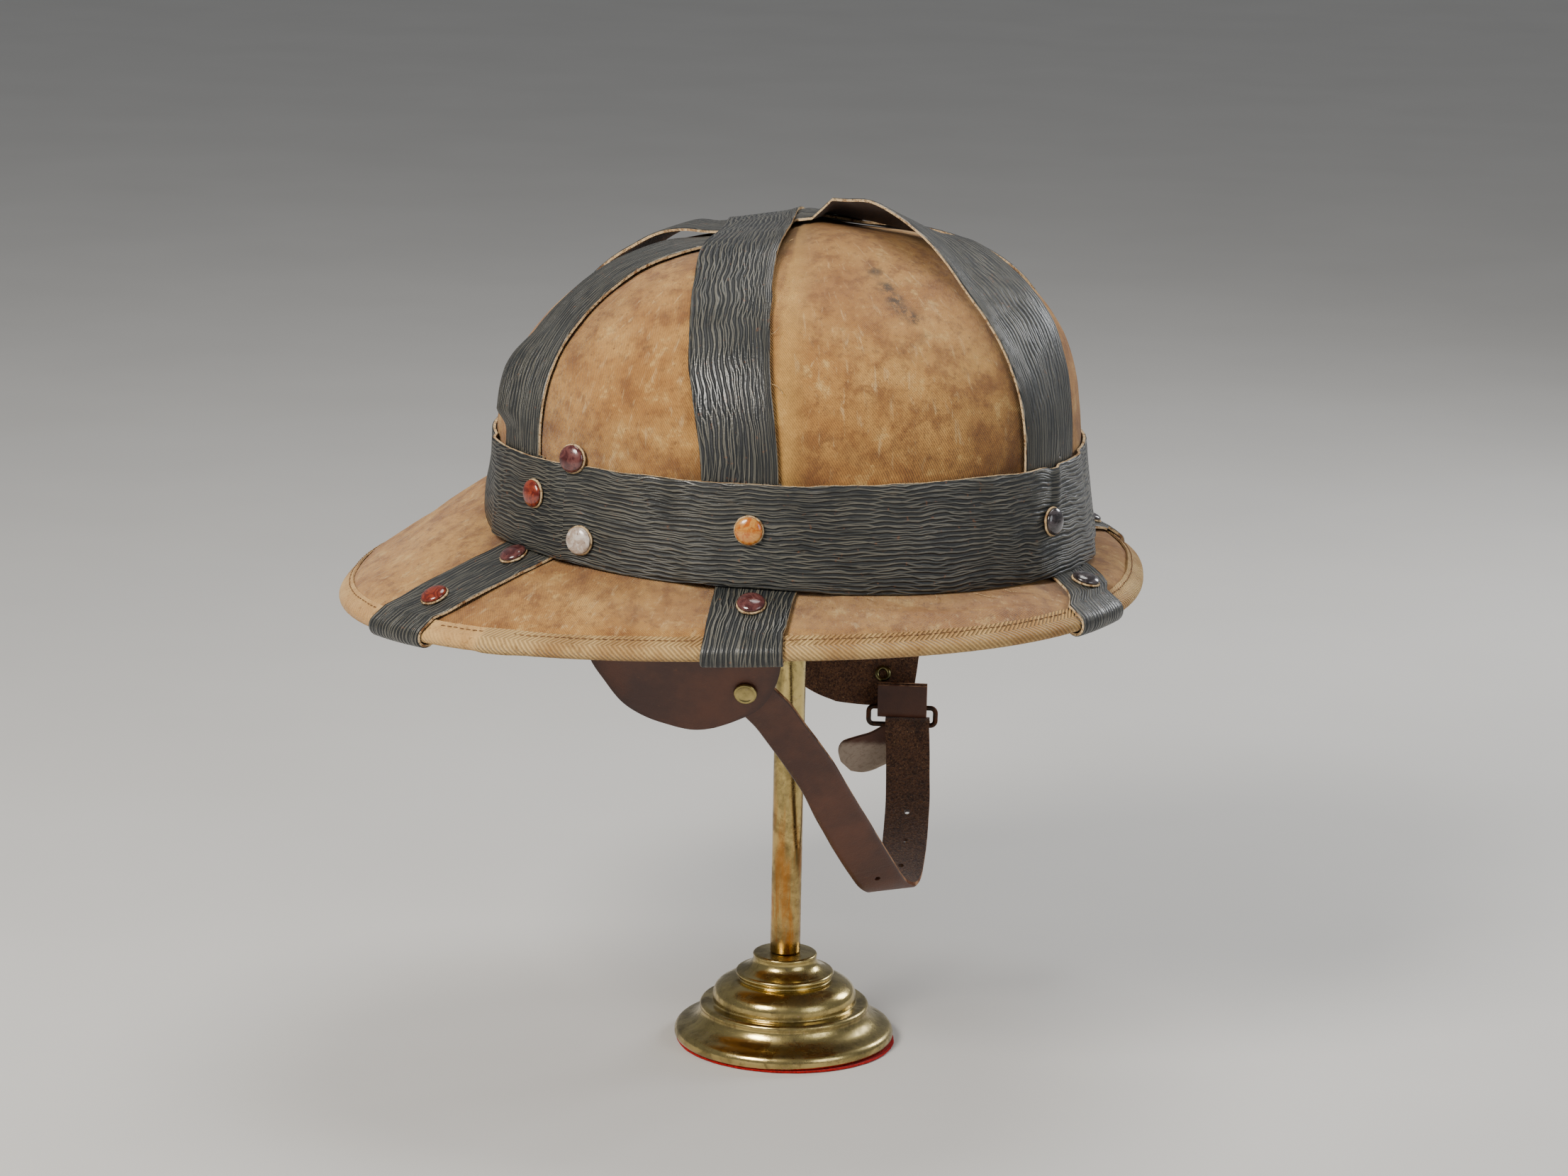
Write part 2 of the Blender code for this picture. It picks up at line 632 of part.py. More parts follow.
def band_normal(azimuth, share):
    """Direction straight out from the band, evened over a stud's width."""
    step = STUD_RADIUS / TOP_SIDE
    around = band_point(azimuth + step, share) - band_point(azimuth - step, share)
    up = band_point(azimuth, 1.0) - band_point(azimuth, 0.0)
    return around.cross(up).normalized()


def build_band(collection, surface):
    azimuths = segment_azimuths(BAND_SEGMENTS)
    rows = [[band_point(a, share) for a in azimuths] for share in (0.0, 0.5, 1.0)]
    return sheet("band", rows, True, BAND_LEATHER, collection, surface)


def build_brim_strap(number, strap, collection, surface):
    laterals = [STRAP_WIDTH * (column / STRAP_COLUMNS - 0.5) for column in range(STRAP_COLUMNS + 1)]
    at_band = math.radians(strap["at_band"])
    at_rim = math.radians(strap["at_rim"])
    over_binding = GAP + TAPE + STRAP_LIFT
    columns = []
    for lateral in laterals:
        azimuth = at_band + math.asin(lateral / foot_radius(at_band))
        column = []
        for rise in (BRIM_STRAP_TUCK, BRIM_STRAP_TUCK / 2.0, BAND_LIFT / 2.0):
            height = foot_level(azimuth) + rise
            column.append(wall_point(azimuth, height) + wall_normal(azimuth, height) * STRAP_LIFT)
        for share in STRAP_BRIM_SHARES:
            out = strip_share(at_rim) * share
            middle = at_band + (at_rim - at_band) * out
            azimuth = middle + math.asin(lateral / brim_point(middle, out).xy.length)
            column.append(brim_point(azimuth, out) + brim_normal(azimuth, out) * STRAP_LIFT)
        azimuth = at_rim + math.asin(lateral / brim_edge_radius(at_rim))
        section = around_rim(azimuth, BINDING_LEG, over_binding)
        section[-1] = section[-1].lerp(section[-2], 1.0 - BRIM_STRAP_RETURN / BINDING_LEG)
        columns.append(column + section)
    rows = [list(row) for row in zip(*columns)]
    rows.reverse()
    return sheet(f"brim_strap_{number}", rows, False, LEATHER, collection, surface)


def stud_profile(radius, height):
    return (
        (0.0, height),
        (radius * 0.60, height * 0.82),
        (radius, height * 0.22),
        (radius * 0.94, 0.0),
        (0.0, 0.0),
    )


def build_studs(collection, surface):
    profile = stud_profile(STUD_RADIUS, STUD_HEIGHT)
    for number, stud in enumerate(BAND_STUDS, 1):
        azimuth = math.radians(stud["azimuth"])
        normal = band_normal(azimuth, stud["height"])
        clear = BAND_LEATHER + GAP + BAND_STUD_EASE
        place = upright_on(band_point(azimuth, stud["height"]) + normal * clear, normal)
        turned(f"band_stud_{number}", profile, STUD_SIDES, collection, surface, place)
    for number, stud in enumerate(BRIM_STUDS, 1):
        strap = BRIM_STRAPS[stud["strap"] - 1]
        azimuth = math.radians(strap["at_band"] + (strap["at_rim"] - strap["at_band"]) * stud["out"])
        normal = brim_normal(azimuth, stud["out"])
        clear = STRAP_LIFT + LEATHER + GAP + BRIM_STUD_EASE
        place = upright_on(brim_point(azimuth, stud["out"]) + normal * clear, normal)
        turned(f"brim_stud_{number}", profile, STUD_SIDES, collection, surface, place)


def row_value(rows, down, key):
    """A column of a flap's table at a share of the way down, kept constant past its rows."""
    if down <= rows[0]["down"]:
        return rows[0][key]
    for upper, lower in zip(rows, rows[1:]):
        if down <= lower["down"]:
            share = (down - upper["down"]) / (lower["down"] - upper["down"])
            return upper[key] + (lower[key] - upper[key]) * share
    return rows[-1][key]


def inside_wall(x, height):
    """Distance from the middle plane to just inside the crown's wall."""
    level = max(height, FOOT_LEVEL)
    low, high = 0.0, math.pi
    for _ in range(40):
        azimuth = (low + high) / 2.0
        inside = wall_point(azimuth, level) - wall_normal(azimuth, level) * (SHELL_WALL + GAP + GAP)
        if inside.x > x:
            low = azimuth
        else:
            high = azimuth
    return inside.y


def across_flap(flap, share):
    return flap["back"] + (flap["front"] - flap["back"]) * share


def buckle_x():
    return across_flap(FLAP_LEFT, BUCKLE_ACROSS)


def snap_place():
    """Distance forward and height of the snap on the right flap."""
    drop = FLAP_TOP - FLAP_RIGHT["bottom"]
    return across_flap(FLAP_RIGHT, SNAP_ACROSS), FLAP_TOP - drop * SNAP_DOWN


def eyelet_place():
    return across_flap(FLAP_LEFT, EYELET_ACROSS), UPPER_BAR_HEIGHT + KEEPER_RISE + EYELET_OVER_KEEPER


def flap_face(side, flap, rows, x, height):
    """Point on a flap's face towards the crown's wall; side is -1 for the right flap and 1 for the left."""
    down = (FLAP_TOP - height) / (FLAP_TOP - flap["bottom"])
    flat = row_value(rows, down, "flat")
    middle = across_flap(flap, (row_value(rows, down, "back") + row_value(rows, down, "front")) / 2.0)
    y = inside_wall(x, height) * (1.0 - flat) + inside_wall(middle, height) * flat
    return Vector((x, side * (y - flap["lean"] * row_value(rows, down, "lean")), height))


def right_face(x, height):
    return flap_face(-1, FLAP_RIGHT, FLAP_RIGHT_ROWS, x, height)


def left_face(x, height):
    return flap_face(1, FLAP_LEFT, FLAP_LEFT_ROWS, x, height)


def build_flap(name, face, flap, rows, collection, surface):
    grid = []
    for row in rows:
        height = FLAP_TOP - (FLAP_TOP - flap["bottom"]) * row["down"]
        shares = [row["back"] + (row["front"] - row["back"]) * c / FLAP_COLUMNS for c in range(FLAP_COLUMNS + 1)]
        grid.append([face(across_flap(flap, share), height) for share in shares])
    if face is right_face:
        grid.reverse()
    made = sheet(name, grid, False, FLAP_LEATHER, collection, surface)
    made.modifiers["thickness"].offset = -1.0
    return made


def buckle_y():
    """The buckle's plane: its keeper lies on the left flap's inner face."""
    inner_face = left_face(buckle_x(), UPPER_BAR_HEIGHT + KEEPER_RISE).y - FLAP_LEATHER
    lower_face = left_face(buckle_x(), FLAP_LEFT["bottom"]).y - FLAP_LEATHER
    return min(inner_face, lower_face) - GAP - GAP - KEEPER_LEATHER - GAP - BUCKLE_WIRE


def chin_rows():
    """Middle, direction across and width of the strap at each of its stations."""
    fold_radius = BUCKLE_WIRE + GAP + STRAP_LEATHER / 2.0
    fold_x = buckle_x() + CHIN_FOLD_SHIFT
    snap = right_face(*snap_place()) + Vector((0.0, FLAP_LEATHER + GAP + STRAP_LEATHER / 2.0, 0.0))
    buckle = Vector((fold_x, buckle_y() - fold_radius, LOWER_BAR_HEIGHT))
    stations = []
    for run, top in ((CHIN_NEAR, snap.z), (CHIN_FAR, buckle.z)):
        for row in run:
            x = snap.x + (buckle.x - snap.x) * row["forward"]
            y = snap.y + (buckle.y - snap.y) * row["along"]
            z = CHIN_LOW + (top - CHIN_LOW) * row["rise"]
            stations.append((Vector((x, y, z)), Vector(row["across"]), row["width"]))
    for step in range(FOLD_STEPS + 1):
        turn = math.pi * step / FOLD_STEPS
        y = buckle_y() - fold_radius * math.cos(turn)
        z = LOWER_BAR_HEIGHT + fold_radius * math.sin(turn)
        stations.append((Vector((fold_x, y, z)), Vector((1.0, 0.0, 0.0)), 1.0))
    for row in CHIN_TAIL:
        x = fold_x - TAIL_REACH * row["back"]
        z = LOWER_BAR_HEIGHT - TAIL_DROP * row["down"]
        stations.append((Vector((x, buckle_y() + fold_radius, z)), Vector(row["across"]), row["width"]))
    return stations


def build_chin_strap(collection, surface):
    """The strap's middle sheet, thickened evenly to both sides."""
    rows = []
    for middle, direction, width in chin_rows():
        across = direction.normalized() * CHIN_WIDTH * width
        row = []
        for column in range(CHIN_COLUMNS + 1):
            point = middle + across * (column / CHIN_COLUMNS - 0.5)
            # Behind the right flap the strap lies against the flap's inner face
            if point.y < 0.0 and point.z > FLAP_RIGHT["bottom"] - CHIN_LEAVES_FLAP:
                inner = right_face(point.x, point.z).y + FLAP_LEATHER * FLAP_SLANT
                point.y = max(point.y, inner + GAP + STRAP_LEATHER / 2.0 * CHIN_SLANT)
            row.append(point)
        rows.append(row)
    strap = sheet("chin_strap", rows, False, STRAP_LEATHER, collection, surface)
    strap.modifiers["thickness"].offset = 0.0
    return strap


def build_keeper(collection, surface):
    """A leather tab that hangs on the left flap's inner face and folds under the buckle's upper bar."""
    radius = BUCKLE_WIRE + GAP
    top = UPPER_BAR_HEIGHT + KEEPER_RISE
    section = [(radius, top)]
    for step in range(FOLD_STEPS + 1):
        turn = math.pi * step / FOLD_STEPS
        section.append((radius * math.cos(turn), UPPER_BAR_HEIGHT - radius * math.sin(turn)))
    section.append((-radius, top))
    rows = []
    for side in (0.5, -0.5):
        x = buckle_x() + KEEPER_WIDTH * side
        rows.append([Vector((x, buckle_y() + across, height)) for across, height in section])
    return sheet("keeper_loop", rows, False, KEEPER_LEATHER, collection, surface)


def build_buckle(collection, surface):
    curve = bpy.data.curves.new("buckle", "CURVE")
    curve.dimensions = "3D"
    curve.bevel_depth = BUCKLE_WIRE
    curve.bevel_resolution = 1
    corner = BUCKLE_WIRE
    left = buckle_x() - BUCKLE_HALF_WIDTH
    right = buckle_x() + BUCKLE_HALF_WIDTH
    y = buckle_y()
    points = (
        (left + corner, LOWER_BAR_HEIGHT),
        (right - corner, LOWER_BAR_HEIGHT),
        (right, LOWER_BAR_HEIGHT + corner),
        (right, UPPER_BAR_HEIGHT - corner),
        (right - corner, UPPER_BAR_HEIGHT),
        (left + corner, UPPER_BAR_HEIGHT),
        (left, UPPER_BAR_HEIGHT - corner),
        (left, LOWER_BAR_HEIGHT + corner),
    )
    spline = curve.splines.new("POLY")
    spline.points.add(len(points) - 1)
    for place, (x, z) in zip(spline.points, points):
        place.co = (x, y, z, 1.0)
    spline.use_cyclic_u = True
    return add_object("buckle", curve, collection, surface)


def build_snap(collection, surface):
    x, height = snap_place()
    face = right_face(x, height)
    below = right_face(x, height - SNAP_RADIUS)
    beside = right_face(x + SNAP_RADIUS, height)
    normal = (beside - face).cross(face - below).normalized()
    profile = (
        (0.0, SNAP_HEIGHT * 0.58),
        (SNAP_RADIUS * 0.60, SNAP_HEIGHT * 0.58),
        (SNAP_RADIUS * 0.75, SNAP_HEIGHT),
        (SNAP_RADIUS * 0.95, SNAP_HEIGHT * 0.92),
        (SNAP_RADIUS, SNAP_HEIGHT * 0.33),
        (SNAP_RADIUS * 0.95, 0.0),
        (0.0, 0.0),
    )
    place = upright_on(face + normal * (GAP + DISC_EASE), normal)
    return turned("snap_disc", profile, DISC_SIDES, collection, surface, place)


def build_eyelet(collection, surface):
    x, height = eyelet_place()
    face = left_face(x, height)
    below = left_face(x, height - EYELET_RADIUS)
    beside = left_face(x + EYELET_RADIUS, height)
    normal = (beside - face).cross(face - below).normalized()
    profile = (
        (EYELET_HOLE, 0.0),
        (EYELET_HOLE, EYELET_HEIGHT * 0.6),
        (EYELET_HOLE * 1.4, EYELET_HEIGHT),
        (EYELET_RADIUS * 0.85, EYELET_HEIGHT * 0.8),
        (EYELET_RADIUS, 0.0),
        (EYELET_HOLE, 0.0),
    )
    clear = FLAP_LEATHER + GAP + DISC_EASE
    place = upright_on(face + normal * clear, normal)
    return turned("flap_eyelet", profile, DISC_SIDES, collection, surface, place)


def build_stand(collection, brass, felt):
    felt_top = FELT_THICKNESS
    felt_profile = ((0.0, felt_top), (FELT_RADIUS, felt_top), (FELT_RADIUS, 0.0), (0.0, 0.0))
    turned("stand_felt", felt_profile, TURNED_STEPS, collection, felt)
    base_foot = felt_top + GAP
    base_profile = [(BASE_RADIUS * row["radius"], base_foot + BASE_HEIGHT * row["height"]) for row in BASE_PROFILE]
    turned("stand_base", base_profile, TURNED_STEPS, collection, brass)
    inner_top = CROWN_TOP - SHELL_WALL
    head_profile = [(HEAD_RADIUS * row["radius"], inner_top - HEAD_DEPTH * row["below"]) for row in HEAD_PROFILE]
    turned("stand_head", head_profile, TURNED_STEPS, collection, brass)
    pole_foot = base_profile[0][1] + GAP
    pole_top = head_profile[-1][1] - GAP
    bpy.ops.mesh.primitive_cylinder_add(
        vertices=POLE_SIDES,
        radius=POLE_RADIUS,
        depth=pole_top - pole_foot,
        location=(0.0, 0.0, (pole_top + pole_foot) / 2.0),
    )
    pole = bpy.context.object
    pole.name = "stand_pole"
    pole.data.name = "stand_pole"
    pole.data.materials.append(brass)
    for holder in list(pole.users_collection):
        holder.objects.unlink(pole)
    collection.objects.link(pole)


def main():
    for thing in list(bpy.data.objects):
        bpy.data.objects.remove(thing, do_unlink=True)
    helmet = bpy.data.collections.new("pith_helmet")
    bpy.context.scene.collection.children.link(helmet)

    canvas = material("canvas", (0.52, 0.34, 0.16), 0.85)
    tape = material("binding_tape", (0.50, 0.33, 0.17), 0.85)
    grained = material("grained_leather", (0.055, 0.058, 0.054), 0.45)
    leather = material("brown_leather", (0.060, 0.022, 0.012), 0.45)
    enamel = material("stud_enamel", (0.28, 0.07, 0.03), 0.25)
    brass = material("brass", (0.62, 0.45, 0.18), 0.28, 1.0)
    dark_metal = material("dark_metal", (0.10, 0.07, 0.05), 0.45, 1.0)
    felt = material("red_felt", (0.45, 0.012, 0.012), 0.95)

    build_crown(helmet, canvas)
    build_brim(helmet, canvas)
    build_binding(helmet, tape)
    for name, strap in CROWN_STRAPS.items():
        build_crown_strap(name, strap, helmet, grained)
    build_band(helmet, grained)
    for number, strap in enumerate(BRIM_STRAPS, 1):
        build_brim_strap(number, strap, helmet, grained)
    build_studs(helmet, enamel)
    build_flap("ear_flap_right", right_face, FLAP_RIGHT, FLAP_RIGHT_ROWS, helmet, leather)
    build_flap("ear_flap_left", left_face, FLAP_LEFT, FLAP_LEFT_ROWS, helmet, leather)
    build_snap(helmet, brass)
    build_eyelet(helmet, brass)
    build_keeper(helmet, leather)
    build_buckle(helmet, dark_metal)
    build_chin_strap(helmet, leather)
    build_stand(helmet, brass, felt)


main()
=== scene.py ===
import math

import bmesh
import bpy
from mathutils import Matrix, Vector, noise


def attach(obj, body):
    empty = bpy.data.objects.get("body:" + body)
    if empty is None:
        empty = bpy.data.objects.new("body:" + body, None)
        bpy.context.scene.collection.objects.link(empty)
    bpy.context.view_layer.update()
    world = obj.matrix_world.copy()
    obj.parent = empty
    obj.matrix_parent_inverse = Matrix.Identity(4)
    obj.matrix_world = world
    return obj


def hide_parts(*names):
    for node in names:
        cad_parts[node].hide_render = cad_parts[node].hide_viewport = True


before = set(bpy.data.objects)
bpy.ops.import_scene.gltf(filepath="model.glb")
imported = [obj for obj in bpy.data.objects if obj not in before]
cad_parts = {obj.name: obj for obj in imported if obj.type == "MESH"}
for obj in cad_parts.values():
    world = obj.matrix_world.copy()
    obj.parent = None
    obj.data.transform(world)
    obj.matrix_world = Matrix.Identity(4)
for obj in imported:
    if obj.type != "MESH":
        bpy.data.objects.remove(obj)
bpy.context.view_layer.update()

# Sizes and surfaces of the helmet, as the CAD model has them
GAP = 0.0003
SHELL_WALL = 0.0045
BRIM_WALL = 0.0034
LEATHER = 0.0014
TAPE = 0.0008
BAND_LEATHER = 0.0015
FOOT_FRONT = 0.1221
FOOT_BACK = 0.1235
FOOT_SIDE = 0.1113
TOP_FRONT = 0.1174
TOP_BACK = 0.1223
TOP_SIDE = 0.1091
PLAN_POWER = 2.08
FOOT_LEVEL = 0.2219
FOOT_RISE_TO_BACK = 0.0308
HUMP_RISE = 0.0165
HUMP_AZIMUTH = 165.0
HUMP_HALF_ANGLE = 38.0
BAND_TOP_LEVEL = 0.2634
CROWN_TOP = 0.3460
DOME_FRONT = (3.3, 2.3)
DOME_BACK = (2.25, 1.9)
DOME_SIDE = (2.6, 2.1)
ROW_CROWDING = 0.75
RIM_FRONT = 0.1458
RIM_BACK = 0.1880
RIM_SIDE = 0.1417
RIM_POWER = 2.30
RIM_LEVEL = 0.2027
RIM_FRONT_LIFT = 0.0068
RIM_ENDS_LIFT = -0.0010
BRIM_BOW = 0.0025
FOOT_SEAT = 0.0009
BINDING_LEG = 0.0065
EDGE_STRIP = 0.0088
STRAP_WIDTH = 0.0312
STRAP_TUCK = 0.0120
BRIM_STRAP_TUCK = 0.0090
BRIM_STRAP_RETURN = 0.0055
STRAP_LIFT = 0.0008
STACK_REACH = 0.042
STACK_FADE = 0.020
BAND_EASE = 0.0006
BAND_LIFT = 0.0024
TUCK_HALF_ANGLE = 12.0
TUCK_FADE_ANGLE = 5.0
CROWN_STRAPS = {
    "crown_strap_side": {"start": -97.0, "end": 97.0, "back": 0.155, "bow": 0.06, "under": 2, "slack": (0.0, 0.0)},
    "crown_strap_fore": {"start": -28.0, "end": 147.0, "back": -0.02, "bow": 0.0, "under": 1, "slack": (1.0, 0.35)},
    "crown_strap_aft": {"start": -150.0, "end": 29.0, "back": 0.14, "bow": 0.09, "under": 0, "slack": (0.0, 0.0)},
}
BOW_GROWS = 0.6
BOW_DIES = 16.0
SLACK_HEIGHT = 0.0105
SLACK_START = 0.0205
SLACK_PEAK = 0.0330
SLACK_END = 0.1000
CROSSING_TURN = 0.35
BRIM_STRAPS = (
    {"at_band": -21.0, "at_rim": -31.0},
    {"at_band": -93.5, "at_rim": -94.0},
    {"at_band": -145.5, "at_rim": -148.5},
    {"at_band": 147.0, "at_rim": 150.0},
    {"at_band": 94.0, "at_rim": 94.0},
    {"at_band": 21.0, "at_rim": 30.0},
)
BAND_STUDS = (
    {"azimuth": -143.0, "height": 0.60, "look": "ember"},
    {"azimuth": -134.0, "height": 1.06, "look": "plum"},
    {"azimuth": -131.0, "height": 0.20, "look": "pearl"},
    {"azimuth": -95.0, "height": 0.54, "look": "amber"},
    {"azimuth": -29.5, "height": 0.48, "look": "slate"},
    {"azimuth": 28.0, "height": 0.48, "look": "plum"},
    {"azimuth": 95.0, "height": 0.54, "look": "amber"},
    {"azimuth": 147.0, "height": 0.54, "look": "ember"},
)
BRIM_STUDS = (
    {"strap": 1, "out": 0.50, "look": "slate"},
    {"strap": 2, "out": 0.38, "look": "plum"},
    {"strap": 3, "out": 0.73, "look": "ember"},
    {"strap": 3, "out": 0.14, "look": "plum"},
    {"strap": 4, "out": 0.66, "look": "ember"},
    {"strap": 5, "out": 0.38, "look": "plum"},
    {"strap": 6, "out": 0.50, "look": "slate"},
)
STUD_RADIUS = 0.0055
STUD_HEIGHT = 0.0024
BAND_STUD_EASE = 0.0005
BRIM_STUD_EASE = 0.0005
DISC_EASE = 0.0004
FLAP_LEATHER = 0.0020
FLAP_TOP = 0.2380
RIGHT_BACK = -0.0800
RIGHT_FRONT = 0.0040
RIGHT_BOTTOM = 0.1571
RIGHT_LEAN = 0.0210
LEFT_BACK = -0.0200
LEFT_FRONT = 0.0560
LEFT_BOTTOM = 0.1270
LEFT_LEAN = 0.0215
FLAP_RIGHT = {"back": RIGHT_BACK, "front": RIGHT_FRONT, "bottom": RIGHT_BOTTOM, "lean": RIGHT_LEAN}
FLAP_LEFT = {"back": LEFT_BACK, "front": LEFT_FRONT, "bottom": LEFT_BOTTOM, "lean": LEFT_LEAN}
# Flap rows: share of the way down, back and front edge across the width, share of the lean, lost curve
FLAP_RIGHT_ROWS = (
    (0.00, 0.00, 1.00, 0.00, 0.00), (0.28, 0.00, 1.00, 0.00, 0.00), (0.47, 0.01, 0.99, 0.29, 0.20),
    (0.655, 0.05, 0.975, 0.60, 0.50), (0.78, 0.13, 0.94, 0.79, 0.70), (0.89, 0.22, 0.87, 0.91, 0.85),
    (0.96, 0.335, 0.755, 0.97, 0.90), (1.00, 0.465, 0.655, 1.00, 0.90),
)
FLAP_LEFT_ROWS = (
    (0.00, 0.00, 1.00, 0.00, 0.00), (0.21, 0.00, 1.00, 0.00, 0.00), (0.39, 0.01, 0.98, 0.28, 0.20),
    (0.61, 0.05, 0.955, 0.58, 0.60), (0.79, 0.12, 0.93, 0.79, 0.90), (0.91, 0.20, 0.91, 0.92, 1.00),
    (0.97, 0.33, 0.895, 0.98, 1.00), (1.00, 0.46, 0.88, 1.00, 1.00),
)
SNAP_ACROSS = 0.807
SNAP_DOWN = 0.797
SNAP_RADIUS = 0.0047
EYELET_ACROSS = 0.725
EYELET_OVER_KEEPER = 0.0023
EYELET_RADIUS = 0.0036
EYELET_HOLE = 0.0016
BUCKLE_WIRE = 0.0011
BUCKLE_ACROSS = 0.842
BUCKLE_HALF_WIDTH = 0.0145
BAR_BELOW_FLAP = 0.0002
BUCKLE_DROP = 0.0078
UPPER_BAR_HEIGHT = FLAP_LEFT["bottom"] - BAR_BELOW_FLAP
LOWER_BAR_HEIGHT = UPPER_BAR_HEIGHT - BUCKLE_DROP
KEEPER_LEATHER = 0.0016
KEEPER_RISE = 0.0102
KEEPER_WIDTH = 0.0212
STRAP_LEATHER = 0.0022
CHIN_WIDTH = 0.0190
CHIN_LOW = 0.0680
CHIN_FOLD_SHIFT = 0.0024
CHIN_LEAVES_FLAP = 0.0040
FLAP_SLANT = 1.25
CHIN_SLANT = 1.30
# Chin strap stations: forward, along, rise, direction across, width
CHIN_NEAR = (
    (-0.10, 0.00, 1.06, (8.0, -4.0, 9.0), 0.55), (-0.05, 0.01, 1.03, (8.5, -4.0, 9.5), 0.92),
    (0.01, 0.01, 0.99, (9.0, -4.5, 10.0), 1.0), (0.11, 0.03, 0.93, (10.5, -5.0, 10.5), 1.0),
    (0.19, 0.06, 0.87, (11.5, -5.0, 11.0), 1.0), (0.31, 0.10, 0.76, (12.0, -5.0, 12.0), 1.0),
    (0.46, 0.17, 0.61, (13.0, -4.0, 12.0), 1.0), (0.59, 0.25, 0.44, (14.5, -2.0, 11.0), 1.0),
    (0.72, 0.34, 0.27, (16.5, 0.0, 8.5), 1.0), (0.83, 0.42, 0.13, (17.0, 1.0, 6.0), 1.0),
    (0.90, 0.47, 0.05, (17.5, 3.0, 3.5), 1.0), (0.96, 0.54, 0.00, (18.0, 3.0, 2.0), 1.0),
)
CHIN_FAR = (
    (1.00, 0.61, 0.00, (18.5, 2.5, 1.0), 1.0), (1.02, 0.70, 0.09, (19.0, 2.0, 1.0), 1.0),
    (1.03, 0.80, 0.24, (19.0, 1.0, 1.0), 1.0), (1.03, 0.88, 0.43, (19.0, 0.0, 1.0), 1.0),
    (1.02, 0.95, 0.67, (19.0, 0.0, 0.5), 1.0), (1.01, 0.99, 0.86, (19.0, 0.0, 0.0), 1.0),
)
TAIL_REACH = 0.0264
TAIL_DROP = 0.0202
CHIN_TAIL = (
    (0.09, 0.20, (18.5, 0.0, -4.0), 1.0), (0.28, 0.42, (17.5, 0.0, -7.5), 1.0),
    (0.51, 0.58, (16.0, 0.0, -10.0), 1.0), (0.77, 0.74, (14.5, 0.0, -12.0), 1.0),
    (0.92, 0.88, (14.0, 0.0, -12.5), 0.80), (1.00, 1.00, (14.0, 0.0, -12.5), 0.35),
)
POLE_RADIUS = 0.00635
BASE_RADIUS = 0.0464
BASE_HEIGHT = 0.0371
BASE_FOOT = 0.0013
FELT_THICKNESS = 0.0010
HEAD_RADIUS = 0.0300
HEAD_DEPTH = 0.0105

# Shapes that the solids don't have: heights and reaches in metres, shares along and across a strap
CROSSING = Vector((-TOP_SIDE * CROWN_STRAPS["crown_strap_side"]["back"], 0.0))
PEAK = 0.0045
PEAK_SPOT = (0.020, 0.004)
PEAK_REACH = (0.017, 0.028)
PEAK_REACH_BACK = 0.008
DENT = 0.0036
DENT_SPOT = (-0.015, 0.008)
DENT_REACH = (0.018, 0.032)
SWELL = 0.0042
SWELL_SPOT = (0.024, -0.024)
SWELL_REACH = 0.021
THINNEST_WALL = 0.0009
STACK_EASE = 0.0003
STACK_GAP = 0.0001
SLACK_HOLD = 0.013
FORE_SHIFT = 0.0100
AFT_SHIFT = 0.0130
FORE_WIDER = 0.0042
FORE_WIDER_SOON = 0.0030
FORE_STANDS_OFF = 0.0034
FORE_NEAR_EDGE = 0.0022
AFT_STANDS_OFF = 0.0046
EDGE_CURL = 0.0009
BRIDGE_BLEND = 0.0012
BAND_DROP = 0.0030
BAND_DROP_LESS = 0.0012
STITCHES = 340
STITCH_RADIUS = 0.00024
STITCH_CLEAR = 6.9
JOIN_AZIMUTH = -134.5
HOLE_RADIUS = 0.00125
HOLES_FROM_LOWEST = (-0.0230, 0.0150, 0.0320, 0.0480)
THREAD_RADIUS = 0.00013
KEEPER_SAG = 0.0015
FELT_VISIBLE = 0.0449
FELT_STEPS = 180
SHARP_ANGLE = math.radians(50.0)

# Camera and picture
CAMERA_PITCH, CAMERA_YAW, CAMERA_ROLL = math.radians(13.32), math.radians(3.79), math.radians(1.10)
CAMERA_SPOT = (0.1138, -1.7695, 0.6160)
CAMERA_LENS = 100.9
SENSOR = 36.0
PICTURE = (2212.0, 1659.0)
FLOOR_RADIUS = 12.0


def smooth(value, low, high):
    share = min(1.0, max(0.0, (value - low) / (high - low)))
    return share * share * (3.0 - 2.0 * share)


def hill(value, rise_from, rise_to, fall_from, fall_to):
    """Up from 0 to 1, and down again."""
    return smooth(value, rise_from, rise_to) * (1.0 - smooth(value, fall_from, fall_to))


def all_round(count):
    """Azimuths of equal steps round a circle."""
    return [2.0 * math.pi * k / count for k in range(count)]


def outline(azimuth, front, back, side, power):
    reach = front if math.cos(azimuth) > 0.0 else back
    along = abs(math.cos(azimuth) / reach) ** power
    across = abs(math.sin(azimuth) / side) ** power
    return (along + across) ** (-1.0 / power)


def in_plan(azimuth, radius, height):
    return Vector((radius * math.cos(azimuth), radius * math.sin(azimuth), height))


def apart(azimuth, degrees):
    """Angle in degrees from an azimuth in radians to one in degrees."""
    return (math.degrees(azimuth) - degrees + 180.0) % 360.0 - 180.0


def foot_radius(azimuth):
    return outline(azimuth, FOOT_FRONT, FOOT_BACK, FOOT_SIDE, PLAN_POWER)


def top_radius(azimuth):
    return outline(azimuth, TOP_FRONT, TOP_BACK, TOP_SIDE, PLAN_POWER)


def foot_level(azimuth):
    level = FOOT_LEVEL - FOOT_RISE_TO_BACK * foot_radius(azimuth) * math.cos(azimuth)
    return level + HUMP_RISE * (1.0 - smooth(abs(apart(azimuth, HUMP_AZIMUTH)), 0.0, HUMP_HALF_ANGLE))


